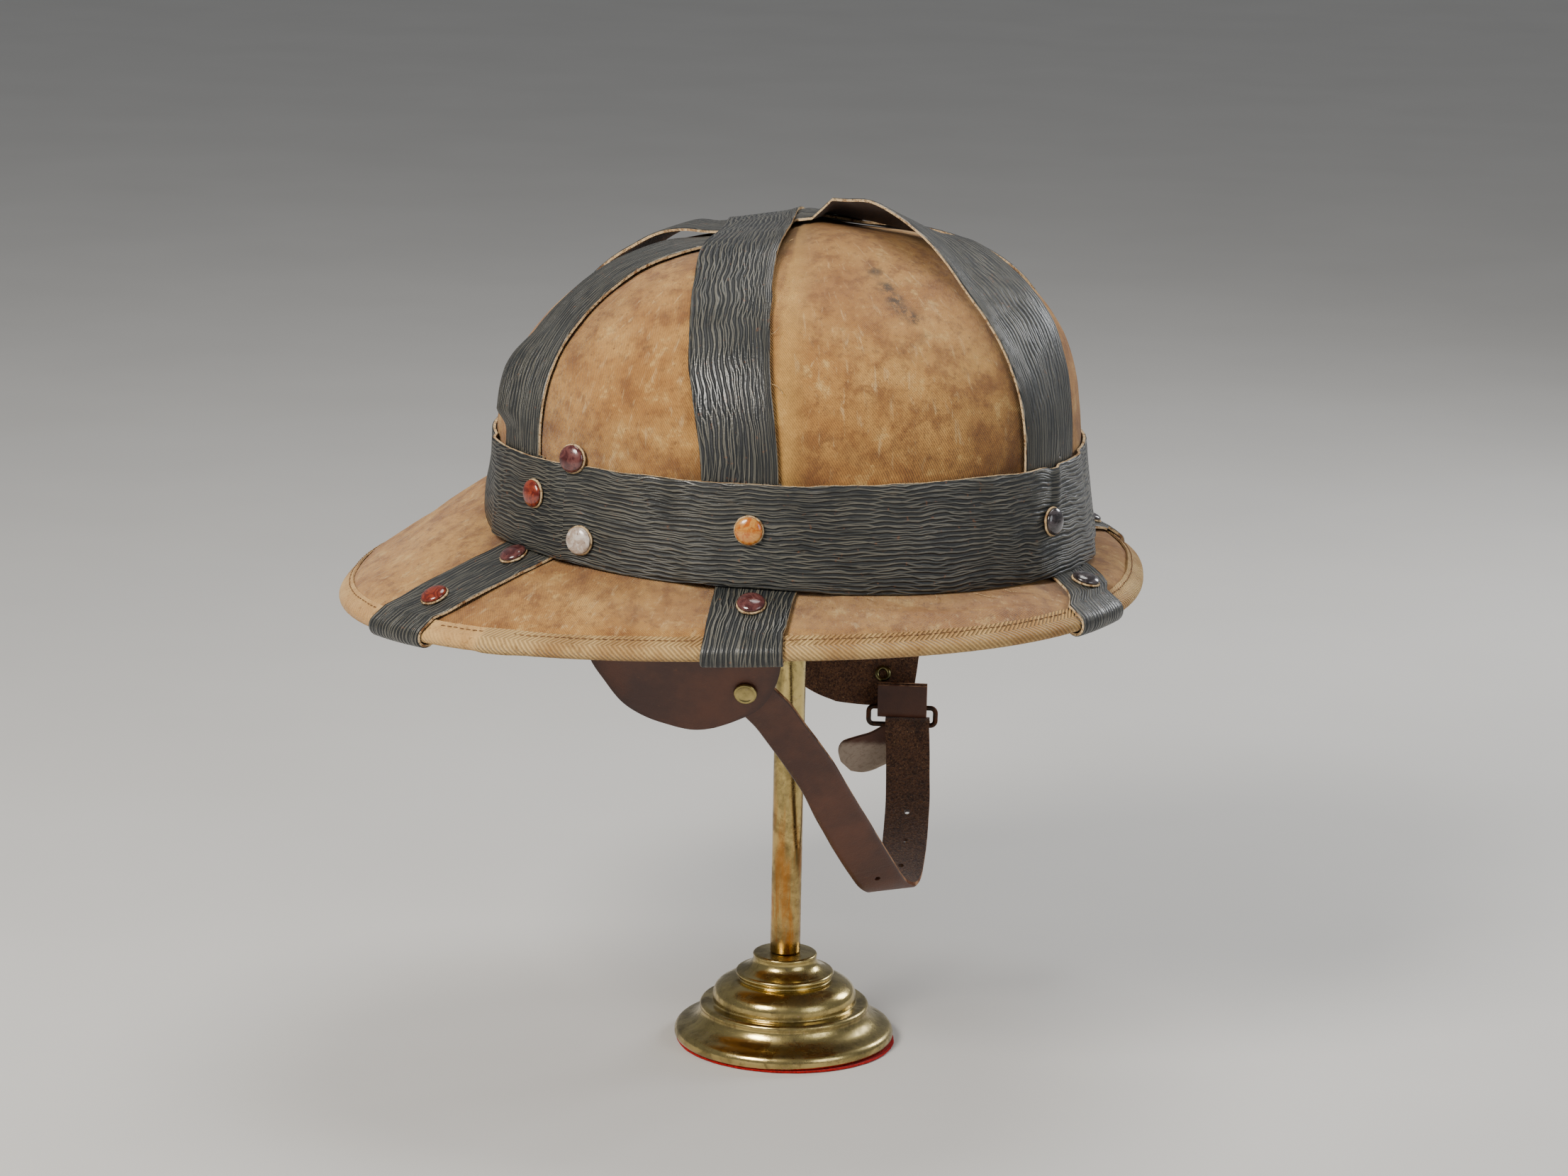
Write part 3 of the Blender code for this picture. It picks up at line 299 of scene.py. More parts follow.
def wall_point(azimuth, height):
    low = foot_level(azimuth)
    share = (height - low) / (BAND_TOP_LEVEL - low)
    radius = foot_radius(azimuth) * (1.0 - share) + top_radius(azimuth) * share
    return in_plan(azimuth, radius, height)


def wall_normal(azimuth, height):
    step = 0.01
    along = wall_point(azimuth + step, height) - wall_point(azimuth - step, height)
    return Vector((along.y, -along.x, 0.0)).normalized()


def dome_point(azimuth, share):
    share = min(1.0, share)
    side_weight = math.sin(azimuth) ** 2
    ends = DOME_FRONT if math.cos(azimuth) > 0.0 else DOME_BACK
    plan_power = ends[0] * (1.0 - side_weight) + DOME_SIDE[0] * side_weight
    rise_power = ends[1] * (1.0 - side_weight) + DOME_SIDE[1] * side_weight
    climb = (1.0 - share ** plan_power) ** (1.0 / rise_power)
    height = BAND_TOP_LEVEL + (CROWN_TOP - BAND_TOP_LEVEL) * climb
    return in_plan(azimuth, top_radius(azimuth) * share, height)


def dome_normal(azimuth, share):
    step = 0.012
    inner = min(share, 1.0 - step)
    middle = Vector((inner * math.cos(azimuth), inner * math.sin(azimuth)))

    def at(along, across):
        spot = middle + Vector((along, across))
        return dome_point(math.atan2(spot.y, spot.x), spot.length)

    return (at(step, 0.0) - at(-step, 0.0)).cross(at(0.0, step) - at(0.0, -step)).normalized()


def apex_rise(spot):
    """The cloth sinks a little behind the crossing of the straps and rises to a soft peak in front of it."""
    ahead = (spot - CROSSING).x
    sunk = math.exp(-((ahead - DENT_SPOT[0]) / DENT_REACH[0]) ** 2 - ((spot.y - DENT_SPOT[1]) / DENT_REACH[1]) ** 2)
    reach = PEAK_REACH_BACK if ahead < PEAK_SPOT[0] else PEAK_REACH[0]
    raised = math.exp(-((ahead - PEAK_SPOT[0]) / reach) ** 2 - ((spot.y - PEAK_SPOT[1]) / PEAK_REACH[1]) ** 2)
    return PEAK * raised - DENT * sunk


def brim_edge_radius(azimuth):
    return outline(azimuth, RIM_FRONT, RIM_BACK, RIM_SIDE, RIM_POWER) - (BRIM_WALL / 2.0 + GAP + TAPE)


def brim_ends(azimuth):
    inner = in_plan(azimuth, foot_radius(azimuth), foot_level(azimuth) - FOOT_SEAT)
    height = RIM_LEVEL + RIM_FRONT_LIFT * math.cos(azimuth) + RIM_ENDS_LIFT * math.cos(2.0 * azimuth)
    return inner, in_plan(azimuth, brim_edge_radius(azimuth), height)


def strip_share(azimuth):
    inner, edge = brim_ends(azimuth)
    return 1.0 - EDGE_STRIP / (edge - inner).length


def brim_point(azimuth, out):
    inner, edge = brim_ends(azimuth)
    strip = strip_share(azimuth)
    point = inner.lerp(edge, out)
    if out < strip:
        point.z += BRIM_BOW * math.sin(math.pi / 2.0 * out / strip)
    else:
        point.z += BRIM_BOW * (1.0 - out) / (1.0 - strip)
    return point


def brim_normal(azimuth, out):
    step = 0.01
    outward = brim_point(azimuth, min(1.0, out + step)) - brim_point(azimuth, max(0.0, out - step))
    around = brim_point(azimuth + step, out) - brim_point(azimuth - step, out)
    return outward.cross(around).normalized()


def around_rim(azimuth, inset, lift, leg_steps, arc_steps):
    """Points and normals of a section that wraps the brim's edge, from above to below."""
    corner = brim_point(azimuth, 1.0)
    up = brim_normal(azimuth, 1.0)
    outward = (corner - brim_point(azimuth, strip_share(azimuth))).normalized()
    middle = corner - up * BRIM_WALL / 2.0
    radius = BRIM_WALL / 2.0 + lift
    section = []
    for step in range(leg_steps, 0, -1):
        section.append((middle + up * radius - outward * inset * step / leg_steps, up.copy()))
    for step in range(arc_steps + 1):
        turn = math.pi / 2.0 - math.pi * step / arc_steps
        away = outward * math.cos(turn) + up * math.sin(turn)
        section.append((middle + away * radius, away))
    for step in range(1, leg_steps + 1):
        section.append((middle - up * radius - outward * inset * step / leg_steps, -up))
    return section


def near_strap(azimuth, middles):
    nearest = min(abs(apart(azimuth, middle)) for middle in middles)
    return 1.0 - smooth(nearest, TUCK_HALF_ANGLE, TUCK_HALF_ANGLE + TUCK_FADE_ANGLE)


def band_offset(azimuth, share):
    upper = [strap[key] for strap in CROWN_STRAPS.values() for key in ("start", "end")]
    lower = [strap["at_band"] for strap in BRIM_STRAPS]
    over = near_strap(azimuth, upper) * share + near_strap(azimuth, lower) * (1.0 - share)
    ease = STRAP_LIFT + LEATHER + GAP + BAND_EASE
    return BAND_EASE + (ease - BAND_EASE) * over


def band_point(azimuth, share):
    low = foot_level(azimuth) + BAND_LIFT
    height = low + (BAND_TOP_LEVEL - low) * share
    return wall_point(azimuth, height) + wall_normal(azimuth, height) * band_offset(azimuth, share)


def band_normal(azimuth, share):
    step = STUD_RADIUS / TOP_SIDE
    around = band_point(azimuth + step, share) - band_point(azimuth - step, share)
    up = band_point(azimuth, 1.0) - band_point(azimuth, 0.0)
    return around.cross(up).normalized()


def row_values(rows, down):
    if down <= rows[0][0]:
        return rows[0]
    for upper, lower in zip(rows, rows[1:]):
        if down <= lower[0]:
            share = (down - upper[0]) / (lower[0] - upper[0])
            return [a + (b - a) * share for a, b in zip(upper, lower)]
    return rows[-1]


def inside_wall(x, height):
    level = max(height, FOOT_LEVEL)
    low, high = 0.0, math.pi
    for _ in range(40):
        azimuth = (low + high) / 2.0
        inside = wall_point(azimuth, level) - wall_normal(azimuth, level) * (SHELL_WALL + GAP + GAP)
        if inside.x > x:
            low = azimuth
        else:
            high = azimuth
    return inside.y


def across_flap(flap, share):
    return flap["back"] + (flap["front"] - flap["back"]) * share


def flap_face(side, x, height):
    """Point on a flap's outer face; side is -1 for the right flap and 1 for the left."""
    flap, rows = (FLAP_RIGHT, FLAP_RIGHT_ROWS) if side < 0 else (FLAP_LEFT, FLAP_LEFT_ROWS)
    down = (FLAP_TOP - height) / (FLAP_TOP - flap["bottom"])
    row = row_values(rows, down)
    middle = across_flap(flap, (row[1] + row[2]) / 2.0)
    y = inside_wall(x, height) * (1.0 - row[4]) + inside_wall(middle, height) * row[4]
    return Vector((x, side * (y - flap["lean"] * row[3]), height))


def flap_normal(side, x, height):
    """Direction from a flap's face towards the crown's wall."""
    step = 0.002
    up = flap_face(side, x, height + step) - flap_face(side, x, height - step)
    along = flap_face(side, x + step, height) - flap_face(side, x - step, height)
    normal = along.cross(up).normalized()
    return normal if normal.y * side > 0.0 else -normal


BUCKLE_X = across_flap(FLAP_LEFT, BUCKLE_ACROSS)
BUCKLE_Y = min(
    flap_face(1, BUCKLE_X, UPPER_BAR_HEIGHT + KEEPER_RISE).y, flap_face(1, BUCKLE_X, FLAP_LEFT["bottom"]).y,
) - FLAP_LEATHER - GAP - GAP - KEEPER_LEATHER - GAP - BUCKLE_WIRE


# Node materials

def srgb(red, green, blue):
    """Linear colour from screen values of 0 to 255."""
    return tuple(((value / 255.0 + 0.055) / 1.055) ** 2.4 if value > 10 else value / 3294.6
                 for value in (red, green, blue)) + (1.0,)


class Shader:
    """A node material, put together by short calls."""

    def __init__(self, name):
        self.material = bpy.data.materials.new(name)
        self.material.use_nodes = True
        self.tree = self.material.node_tree
        self.surface = self.tree.nodes["Principled BSDF"]

    def feed(self, socket, value):
        if isinstance(value, bpy.types.NodeSocket):
            self.tree.links.new(value, socket)
        else:
            socket.default_value = value

    def place(self):
        """Position on the object, in metres."""
        return self.tree.nodes.new("ShaderNodeTexCoord").outputs["Object"]

    def cloth(self):
        """Lengths along and across the piece, in metres."""
        made = self.tree.nodes.new("ShaderNodeUVMap")
        made.uv_map = "lay"
        return made.outputs["UV"]

    def value(self, name):
        made = self.tree.nodes.new("ShaderNodeAttribute")
        made.attribute_name = name
        return made.outputs["Fac"]

    def parts(self, vector):
        made = self.tree.nodes.new("ShaderNodeSeparateXYZ")
        self.feed(made.inputs[0], vector)
        return made.outputs

    def stretch(self, vector, across, along, depth=1.0):
        made = self.tree.nodes.new("ShaderNodeMapping")
        self.feed(made.inputs["Vector"], vector)
        made.inputs["Scale"].default_value = (across, along, depth)
        return made.outputs[0]

    def math(self, operation, first, second=0.0, third=0.0):
        made = self.tree.nodes.new("ShaderNodeMath")
        made.operation = operation
        for socket, value in zip(made.inputs, (first, second, third)):
            self.feed(socket, value)
        return made.outputs[0]

    def times(self, first, second):
        return self.math("MULTIPLY", first, second)

    def plus(self, first, second):
        return self.math("ADD", first, second)

    def noise(self, vector, scale, detail=2.0, roughness=0.5, distortion=0.0):
        made = self.tree.nodes.new("ShaderNodeTexNoise")
        self.feed(made.inputs["Vector"], vector)
        given = {"Scale": scale, "Detail": detail, "Roughness": roughness, "Distortion": distortion}
        for name, value in given.items():
            self.feed(made.inputs[name], value)
        return made.outputs["Fac"]

    def cells(self, vector, scale):
        made = self.tree.nodes.new("ShaderNodeTexVoronoi")
        self.feed(made.inputs["Vector"], vector)
        self.feed(made.inputs["Scale"], scale)
        return made.outputs["Distance"]

    def step(self, value, low, high, start=0.0, end=1.0):
        made = self.tree.nodes.new("ShaderNodeMapRange")
        made.interpolation_type = "SMOOTHSTEP"
        for socket, given in zip(made.inputs, (value, low, high, start, end)):
            self.feed(socket, given)
        return made.outputs[0]

    def mix(self, share, first, second, kind="MIX"):
        made = self.tree.nodes.new("ShaderNodeMix")
        made.data_type = "RGBA"
        made.blend_type = kind
        self.feed(made.inputs["Factor"], share)
        self.feed(made.inputs[6], first)
        self.feed(made.inputs[7], second)
        return made.outputs[2]

    def gray(self, value):
        made = self.tree.nodes.new("ShaderNodeCombineColor")
        for socket in made.inputs[:3]:
            self.feed(socket, value)
        return made.outputs[0]

    def bump(self, height, distance, strength=1.0, normal=None):
        made = self.tree.nodes.new("ShaderNodeBump")
        self.feed(made.inputs["Height"], height)
        made.inputs["Distance"].default_value = distance
        made.inputs["Strength"].default_value = strength
        if normal is not None:
            self.feed(made.inputs["Normal"], normal)
        return made.outputs[0]

    def finish(self, colour, roughness, normal=None, **more):
        self.feed(self.surface.inputs["Base Color"], colour)
        self.feed(self.surface.inputs["Roughness"], roughness)
        if normal is not None:
            self.feed(self.surface.inputs["Normal"], normal)
        for name, value in more.items():
            self.feed(self.surface.inputs[name.replace("_", " ")], value)
        return self.material


def canvas_material(name):
    """Old tan twill: diagonal ribs, brown mottling, pale rubbed streaks, and grime with painted shade where the
    piece says so.
    """
    s = Shader(name)
    place = s.place()
    lay = s.parts(s.cloth())
    drift = s.times(s.noise(place, 60.0, 2.0), 0.0016)
    diagonal = s.plus(s.plus(lay[0], s.times(lay[1], 0.8)), drift)
    rib = s.math("SINE", s.times(diagonal, 2.0 * math.pi / 0.00105))
    yarn = s.noise(s.stretch(s.cloth(), 1300.0, 800.0), 1.0, 2.0, 0.6)
    broad = s.noise(place, 24.0, 5.0, 0.62, 0.4)
    blotch = s.noise(place, 88.0, 6.0, 0.70)
    mottle = s.noise(place, 230.0, 5.0, 0.72)
    streak = s.noise(s.stretch(s.cloth(), 300.0, 90.0), 1.0, 5.0, 0.66, 0.5)
    colour = s.mix(s.step(broad, 0.36, 0.64), srgb(202, 152, 84), srgb(172, 120, 62))
    colour = s.mix(s.step(blotch, 0.46, 0.66, 0.0, 0.75), colour, srgb(134, 86, 46))
    colour = s.mix(s.step(blotch, 0.44, 0.32, 0.0, 0.75), colour, srgb(216, 176, 108))
    colour = s.mix(s.step(mottle, 0.52, 0.68, 0.0, 0.55), colour, srgb(128, 88, 52))
    colour = s.mix(s.step(streak, 0.56, 0.70, 0.0, 0.50), colour, srgb(226, 194, 138))
    speck = s.step(s.noise(place, 560.0, 3.0, 0.7), 0.60, 0.72, 0.0, 0.6)
    colour = s.mix(speck, colour, srgb(110, 74, 44))
    # Darker brown where the piece's mask is high: partly real grime, partly painted shade by the band, beside the
    # straps and on the lower front.
    grime_and_shade = s.times(s.value("grime_and_shade"), s.step(blotch, 0.25, 0.60, 0.45, 1.0))
    colour = s.mix(grime_and_shade, colour, srgb(98, 62, 34))
    colour = s.mix(s.value("pale"), colour, srgb(222, 172, 92))
    spots = s.step(s.noise(place, 330.0, 5.0, 0.75), 0.38, 0.52, 0.0, 0.85)
    colour = s.mix(s.times(s.value("stain"), spots), colour, srgb(52, 50, 46))
    shade = s.math("MULTIPLY_ADD", rib, 0.10, 0.90)
    shade = s.times(shade, s.math("MULTIPLY_ADD", yarn, 0.34, 0.83))
    colour = s.mix(1.0, colour, s.gray(shade), "MULTIPLY")
    height = s.plus(s.times(rib, 0.55), s.times(yarn, 1.1))
    normal = s.bump(height, 0.00030, 0.9)
    normal = s.bump(blotch, 0.0012, 0.5, normal)
    return s.finish(colour, 0.86, normal, Sheen_Weight=0.15, Sheen_Roughness=0.5, Specular_IOR_Level=0.22)


def tape_material(name):
    """Herringbone tape: chevrons along the tape, grubby and flatter where it is rubbed."""
    s = Shader(name)
    place = s.place()
    lay = s.parts(s.cloth())
    fold = s.math("PINGPONG", s.plus(lay[0], 0.0016), 0.0062)
    wobble = s.times(s.noise(place, 130.0, 2.0), 0.0007)
    phase = s.plus(s.plus(lay[1], wobble), s.times(fold, 1.15))
    rib = s.math("SINE", s.times(phase, 2.0 * math.pi / 0.0021))
    yarn = s.noise(s.stretch(s.cloth(), 1500.0, 1100.0), 1.0, 2.0, 0.6)
    broad = s.noise(place, 45.0, 5.0, 0.62)
    worn = s.value("worn")
    rib = s.times(rib, s.math("SUBTRACT", 1.0, s.times(worn, 0.8)))
    colour = s.mix(s.step(broad, 0.35, 0.66), srgb(210, 174, 114), srgb(170, 128, 76))
    colour = s.mix(s.step(rib, -0.95, 0.05, 0.58, 0.0), colour, srgb(92, 62, 34))
    colour = s.mix(s.times(worn, 0.45), colour, srgb(196, 150, 92))
    colour = s.mix(s.step(s.noise(place, 240.0, 4.0, 0.7), 0.56, 0.70, 0.0, 0.5), colour, srgb(112, 76, 42))
    colour = s.mix(1.0, colour, s.gray(s.math("MULTIPLY_ADD", yarn, 0.5, 0.75)), "MULTIPLY")
    height = s.plus(s.times(rib, 1.2), s.times(yarn, 1.0))
    normal = s.bump(height, 0.00035, 1.0)
    return s.finish(colour, 0.9, normal, Sheen_Weight=0.12, Specular_IOR_Level=0.2)


def grained_material(name):
    """Dark pressed leather cloth: long wavy ridges that run together, rubbed pale on their crests, dark between."""
    s = Shader(name)
    place = s.place()
    lay = s.cloth()
    parts = s.parts(lay)
    quiver = s.times(s.noise(s.stretch(lay, 150.0, 85.0), 1.0, 2.0, 0.5), 0.9)
    families = []
    for pitch, wide, along, swing in ((0.0019, 16.0, 24.0, 5.5), (0.0023, 22.0, 31.0, 5.0)):
        sway = s.times(s.noise(s.stretch(lay, wide, along), 1.0, 2.0, 0.5), swing)
        turns = s.plus(s.plus(s.times(parts[0], 1.0 / pitch), sway), quiver)
        families.append(s.math("SINE", s.times(turns, 2.0 * math.pi)))
    rib = s.math("SMOOTH_MAX", families[0], families[1], 0.25)
    breaks = s.noise(s.stretch(lay, 330.0, 55.0), 1.0, 3.0, 0.6)
    crest = s.times(s.step(rib, 0.62, 1.0), s.step(breaks, 0.30, 0.62, 0.15, 1.0))
    broad = s.noise(place, 36.0, 4.0, 0.6)
    colour = s.mix(s.step(broad, 0.36, 0.66), srgb(26, 30, 32), srgb(40, 43, 43))
    colour = s.mix(s.step(rib, 0.35, -0.35, 0.0, 0.6), colour, srgb(18, 18, 19))
    colour = s.mix(s.times(crest, 0.46), colour, srgb(132, 126, 110))
    rubbed = s.step(s.noise(s.stretch(lay, 150.0, 70.0), 1.0, 5.0, 0.7), 0.58, 0.70, 0.0, 0.30)
    colour = s.mix(rubbed, colour, srgb(112, 102, 84))
    colour = s.mix(s.step(s.noise(place, 330.0, 3.0, 0.7), 0.64, 0.72, 0.0, 0.55), colour, srgb(120, 76, 46))
    rough = s.plus(s.step(rib, -0.2, 0.8, 0.58, 0.32), s.step(broad, 0.4, 0.7, 0.0, 0.10))
    height = s.plus(s.step(rib, -0.6, 0.9, 0.0, 1.6), s.times(s.noise(place, 1000.0, 2.0), 0.4))
    normal = s.bump(height, 0.00038, 0.9)
    return s.finish(colour, rough, normal, Specular_IOR_Level=0.55)


def rough_material(name, coarse, light, dark, fine, depth, roughness, flecks=0.0, **more):
    """Frayed or napped leather: light and dark patches (scale, low and high of the noise) with fine fibres."""
    s = Shader(name)
    place = s.place()
    colour = s.mix(s.step(s.noise(place, coarse[0], 4.0, 0.7), *coarse[1:]), srgb(*light), srgb(*dark))
    if flecks:
        colour = s.mix(s.step(s.noise(place, 900.0, 2.0), 0.52, 0.66, 0.0, flecks), colour, srgb(84, 62, 44))
    normal = s.bump(s.noise(place, fine, 3.0, 0.7), depth, 1.0)
    return s.finish(colour, roughness, normal, **more)


def smooth_leather_material(name):
    """Dark brown polished side of the flaps and chin strap, with fine creases and dull scuffs."""
    s = Shader(name)
    place = s.place()
    broad = s.noise(place, 38.0, 5.0, 0.6)
    colour = s.mix(s.step(broad, 0.34, 0.68), srgb(66, 37, 27), srgb(92, 55, 40))
    scuff = s.step(s.noise(s.stretch(s.cloth(), 130.0, 320.0), 1.0, 5.0, 0.7), 0.60, 0.74, 0.0, 0.45)
    colour = s.mix(scuff, colour, srgb(122, 80, 58))
    colour = s.mix(s.value("wear"), colour, srgb(36, 20, 16))
    cracks = s.step(s.noise(s.stretch(s.cloth(), 900.0, 420.0), 1.0, 5.0, 0.75, 0.6), 0.50, 0.60, 0.0, 0.45)
    bare = s.mix(cracks, srgb(162, 146, 130), srgb(112, 92, 76))
    colour = s.mix(s.value("bare"), colour, bare)
    pores = s.cells(place, 1700.0)
    crease = s.noise(s.stretch(s.cloth(), 90.0, 300.0), 1.0, 6.0, 0.72, 0.5)
    height = s.plus(s.times(pores, 0.35), crease)
    normal = s.bump(height, 0.00030, 0.65)
    rough = s.plus(s.step(broad, 0.35, 0.7, 0.38, 0.52), s.times(scuff, 0.3))
    return s.finish(colour, rough, normal, Specular_IOR_Level=0.45)


def suede_material(name):
    """Rough flesh side of the brown leather: matted fibres, dark and sandy."""
    s = Shader(name)
    place = s.place()
    fibre = s.noise(place, 1100.0, 5.0, 0.75, 0.6)
    broad = s.noise(place, 120.0, 4.0, 0.65)
    colour = s.mix(s.step(fibre, 0.40, 0.62), srgb(58, 36, 27), srgb(122, 84, 58))
    colour = s.mix(s.step(broad, 0.52, 0.70, 0.0, 0.65), colour, srgb(40, 25, 20))
    colour = s.mix(s.step(s.noise(place, 1900.0, 2.0), 0.62, 0.70, 0.0, 0.8), colour, srgb(176, 134, 92))
    normal = s.bump(fibre, 0.0009, 1.0)
    return s.finish(colour, 0.95, normal, Sheen_Weight=0.35, Specular_IOR_Level=0.12)


def stud_material(name, first, second, fleck):
    """Glossy mottled enamel dome."""
    s = Shader(name)
    place = s.place()
    swirl = s.noise(place, 260.0, 4.0, 0.6, 1.2)
    colour = s.mix(s.step(swirl, 0.40, 0.60), srgb(*first), srgb(*second))
    colour = s.mix(s.step(s.noise(place, 700.0, 3.0, 0.7), 0.58, 0.70, 0.0, 0.8), colour, srgb(*fleck))
    normal = s.bump(s.noise(place, 500.0, 3.0), 0.00012, 0.5)
    return s.finish(colour, s.step(swirl, 0.3, 0.7, 0.12, 0.30), normal, Coat_Weight=0.5, Coat_Roughness=0.08)


def brass_material(name, stain=0.0, shade_and_tarnish=0.0):
    """Old lacquered brass: dull brown film, rubbed bright patches and fine scratches; the last argument darkens all
    of it towards dark olive, partly tarnish and partly painted shade.
    """
    s = Shader(name)
    place = s.place()
    film = s.noise(place, 48.0, 6.0, 0.66, 0.6)
    mottle = s.noise(place, 210.0, 5.0, 0.7)
    scratch = s.noise(s.stretch(place, 260.0, 260.0, 1800.0), 1.0, 4.0, 0.7)
    dull = s.times(s.step(film, 0.38, 0.62), s.step(mottle, 0.30, 0.62, 0.55, 1.0))
    colour = s.mix(dull, srgb(200, 178, 116), srgb(128, 115, 74))
    colour = s.mix(s.step(mottle, 0.54, 0.72, 0.0, 0.6), colour, srgb(104, 84, 58))
    colour = s.mix(s.step(s.noise(place, 900.0, 3.0, 0.7), 0.60, 0.70, 0.0, 0.6), colour, srgb(176, 150, 128))
    if stain:
        streak = s.noise(s.stretch(place, 210.0, 210.0, 26.0), 1.0, 5.0, 0.65, 0.8)
        lower = s.step(s.parts(place)[2], 0.15, 0.05)
        streak = s.times(s.step(streak, 0.42, 0.66, 0.15, stain), lower)
        colour = s.mix(streak, colour, srgb(176, 108, 34))
        flecks = s.noise(s.stretch(place, 420.0, 420.0, 120.0), 1.0, 5.0, 0.8)
        colour = s.mix(s.times(s.step(flecks, 0.62, 0.68), lower), colour, srgb(64, 40, 20))
    # Whole-part darkening towards dark olive: partly tarnish, partly painted shade.
    if shade_and_tarnish:
        colour = s.mix(shade_and_tarnish, colour, srgb(74, 78, 54))
    rough = s.plus(s.step(dull, 0.0, 1.0, 0.17, 0.36), s.step(scratch, 0.55, 0.70, 0.0, 0.10))
    normal = s.bump(s.plus(mottle, s.times(scratch, 0.6)), 0.00008, 0.6)
    return s.finish(colour, rough, normal, Metallic=1.0)


def dark_metal_material(name):
    s = Shader(name)
    place = s.place()
    rust = s.noise(place, 420.0, 5.0, 0.7)
    colour = s.mix(s.step(rust, 0.42, 0.62), srgb(52, 44, 38), srgb(92, 56, 36))
    normal = s.bump(rust, 0.0002, 0.8)
    return s.finish(colour, s.step(rust, 0.4, 0.6, 0.38, 0.7), normal, Metallic=0.85)


def felt_material(name):
    s = Shader(name)
    place = s.place()
    fibre = s.noise(place, 1300.0, 4.0, 0.75, 0.8)
    colour = s.mix(s.step(fibre, 0.36, 0.66), srgb(120, 4, 6), srgb(196, 12, 14))
    normal = s.bump(fibre, 0.0005, 1.0)
    return s.finish(colour, 1.0, normal, Sheen_Weight=0.1, Specular_IOR_Level=0.05)


def thread_material(name, colour):
    s = Shader(name)
    twist = s.noise(s.place(), 2600.0, 2.0)
    mixed = s.mix(s.step(twist, 0.4, 0.62), srgb(*colour), srgb(*[value * 0.6 for value in colour]))
    return s.finish(mixed, 0.9, s.bump(twist, 0.0001, 0.8))


CANVAS = canvas_material("old_canvas")
TAPE_CLOTH = tape_material("herringbone_tape")
GRAINED = grained_material("grained_straps")
RAW_EDGE = rough_material("raw_edge", (210.0, 0.48, 0.66), (206, 178, 136), (132, 96, 64), 1500.0, 0.0004, 0.95,
                          flecks=0.7, Specular_IOR_Level=0.15)
BACKING = rough_material("strap_backing", (700.0, 0.40, 0.64), (92, 62, 38), (52, 34, 22), 1800.0, 0.0004, 0.96,
                         Sheen_Weight=0.3, Specular_IOR_Level=0.1)
SMOOTH_LEATHER = smooth_leather_material("smooth_brown_leather")
SUEDE = suede_material("leather_flesh_side")
CUT_EDGE = rough_material("cut_leather_edge", (160.0, 0.40, 0.62), (168, 128, 96), (92, 56, 38), 1500.0, 0.0003,
                          0.9, Specular_IOR_Level=0.15)
BRASS = brass_material("aged_brass")
POLE_BRASS = brass_material("stained_brass", 0.85)
# The snap and the eyelet get darker copies of the brass: partly tarnish, partly painted shade.
SNAP_BRASS = brass_material("dull_shaded_snap_brass", 0.0, 0.35)
EYELET_BRASS = brass_material("green_shaded_eyelet_brass", 0.0, 0.80)
DARK_METAL = dark_metal_material("dark_buckle_metal")
FELT = felt_material("red_foot_felt")
THREAD = thread_material("brown_thread", (128, 88, 50))
PALE_THREAD = thread_material("pale_thread", (206, 172, 122))
STUD_LOOKS = {
    "amber": stud_material("stud_amber", (168, 88, 22), (190, 132, 58), (104, 46, 14)),
    "ember": stud_material("stud_ember", (88, 24, 14), (132, 50, 24), (50, 12, 10)),
    "plum": stud_material("stud_plum", (66, 28, 28), (98, 54, 50), (38, 16, 20)),
    "pearl": stud_material("stud_pearl", (160, 140, 124), (196, 184, 172), (104, 74, 62)),
    "slate": stud_material("stud_slate", (34, 28, 30), (70, 62, 64), (20, 16, 18)),
}


# Mesh helpers

def add_object(name, mesh, surfaces):
    made = bpy.data.objects.new(name, mesh)
    for surface in surfaces:
        mesh.materials.append(surface)
    bpy.context.scene.collection.objects.link(made)
    return made


def shape_object(name, shape, surfaces, rounded=True):
    """Put a finished bmesh in the scene."""
    for face in shape.faces:
        face.smooth = rounded
    mesh = bpy.data.meshes.new(name)
    shape.to_mesh(mesh)
    shape.free()
    return add_object(name, mesh, surfaces)


def join_rings(shape, rings):
    """Faces between rings that have as many points each."""
    for one, other in zip(rings, rings[1:]):
        for k in range(len(one)):
            beside = (k + 1) % len(one)
            shape.faces.new((one[k], other[k], other[beside], one[beside]))


def round_ring(shape, middle, side, over, radius, sides):
    turns = all_round(sides)
    return [shape.verts.new(middle + (side * math.cos(turn) + over * math.sin(turn)) * radius) for turn in turns]


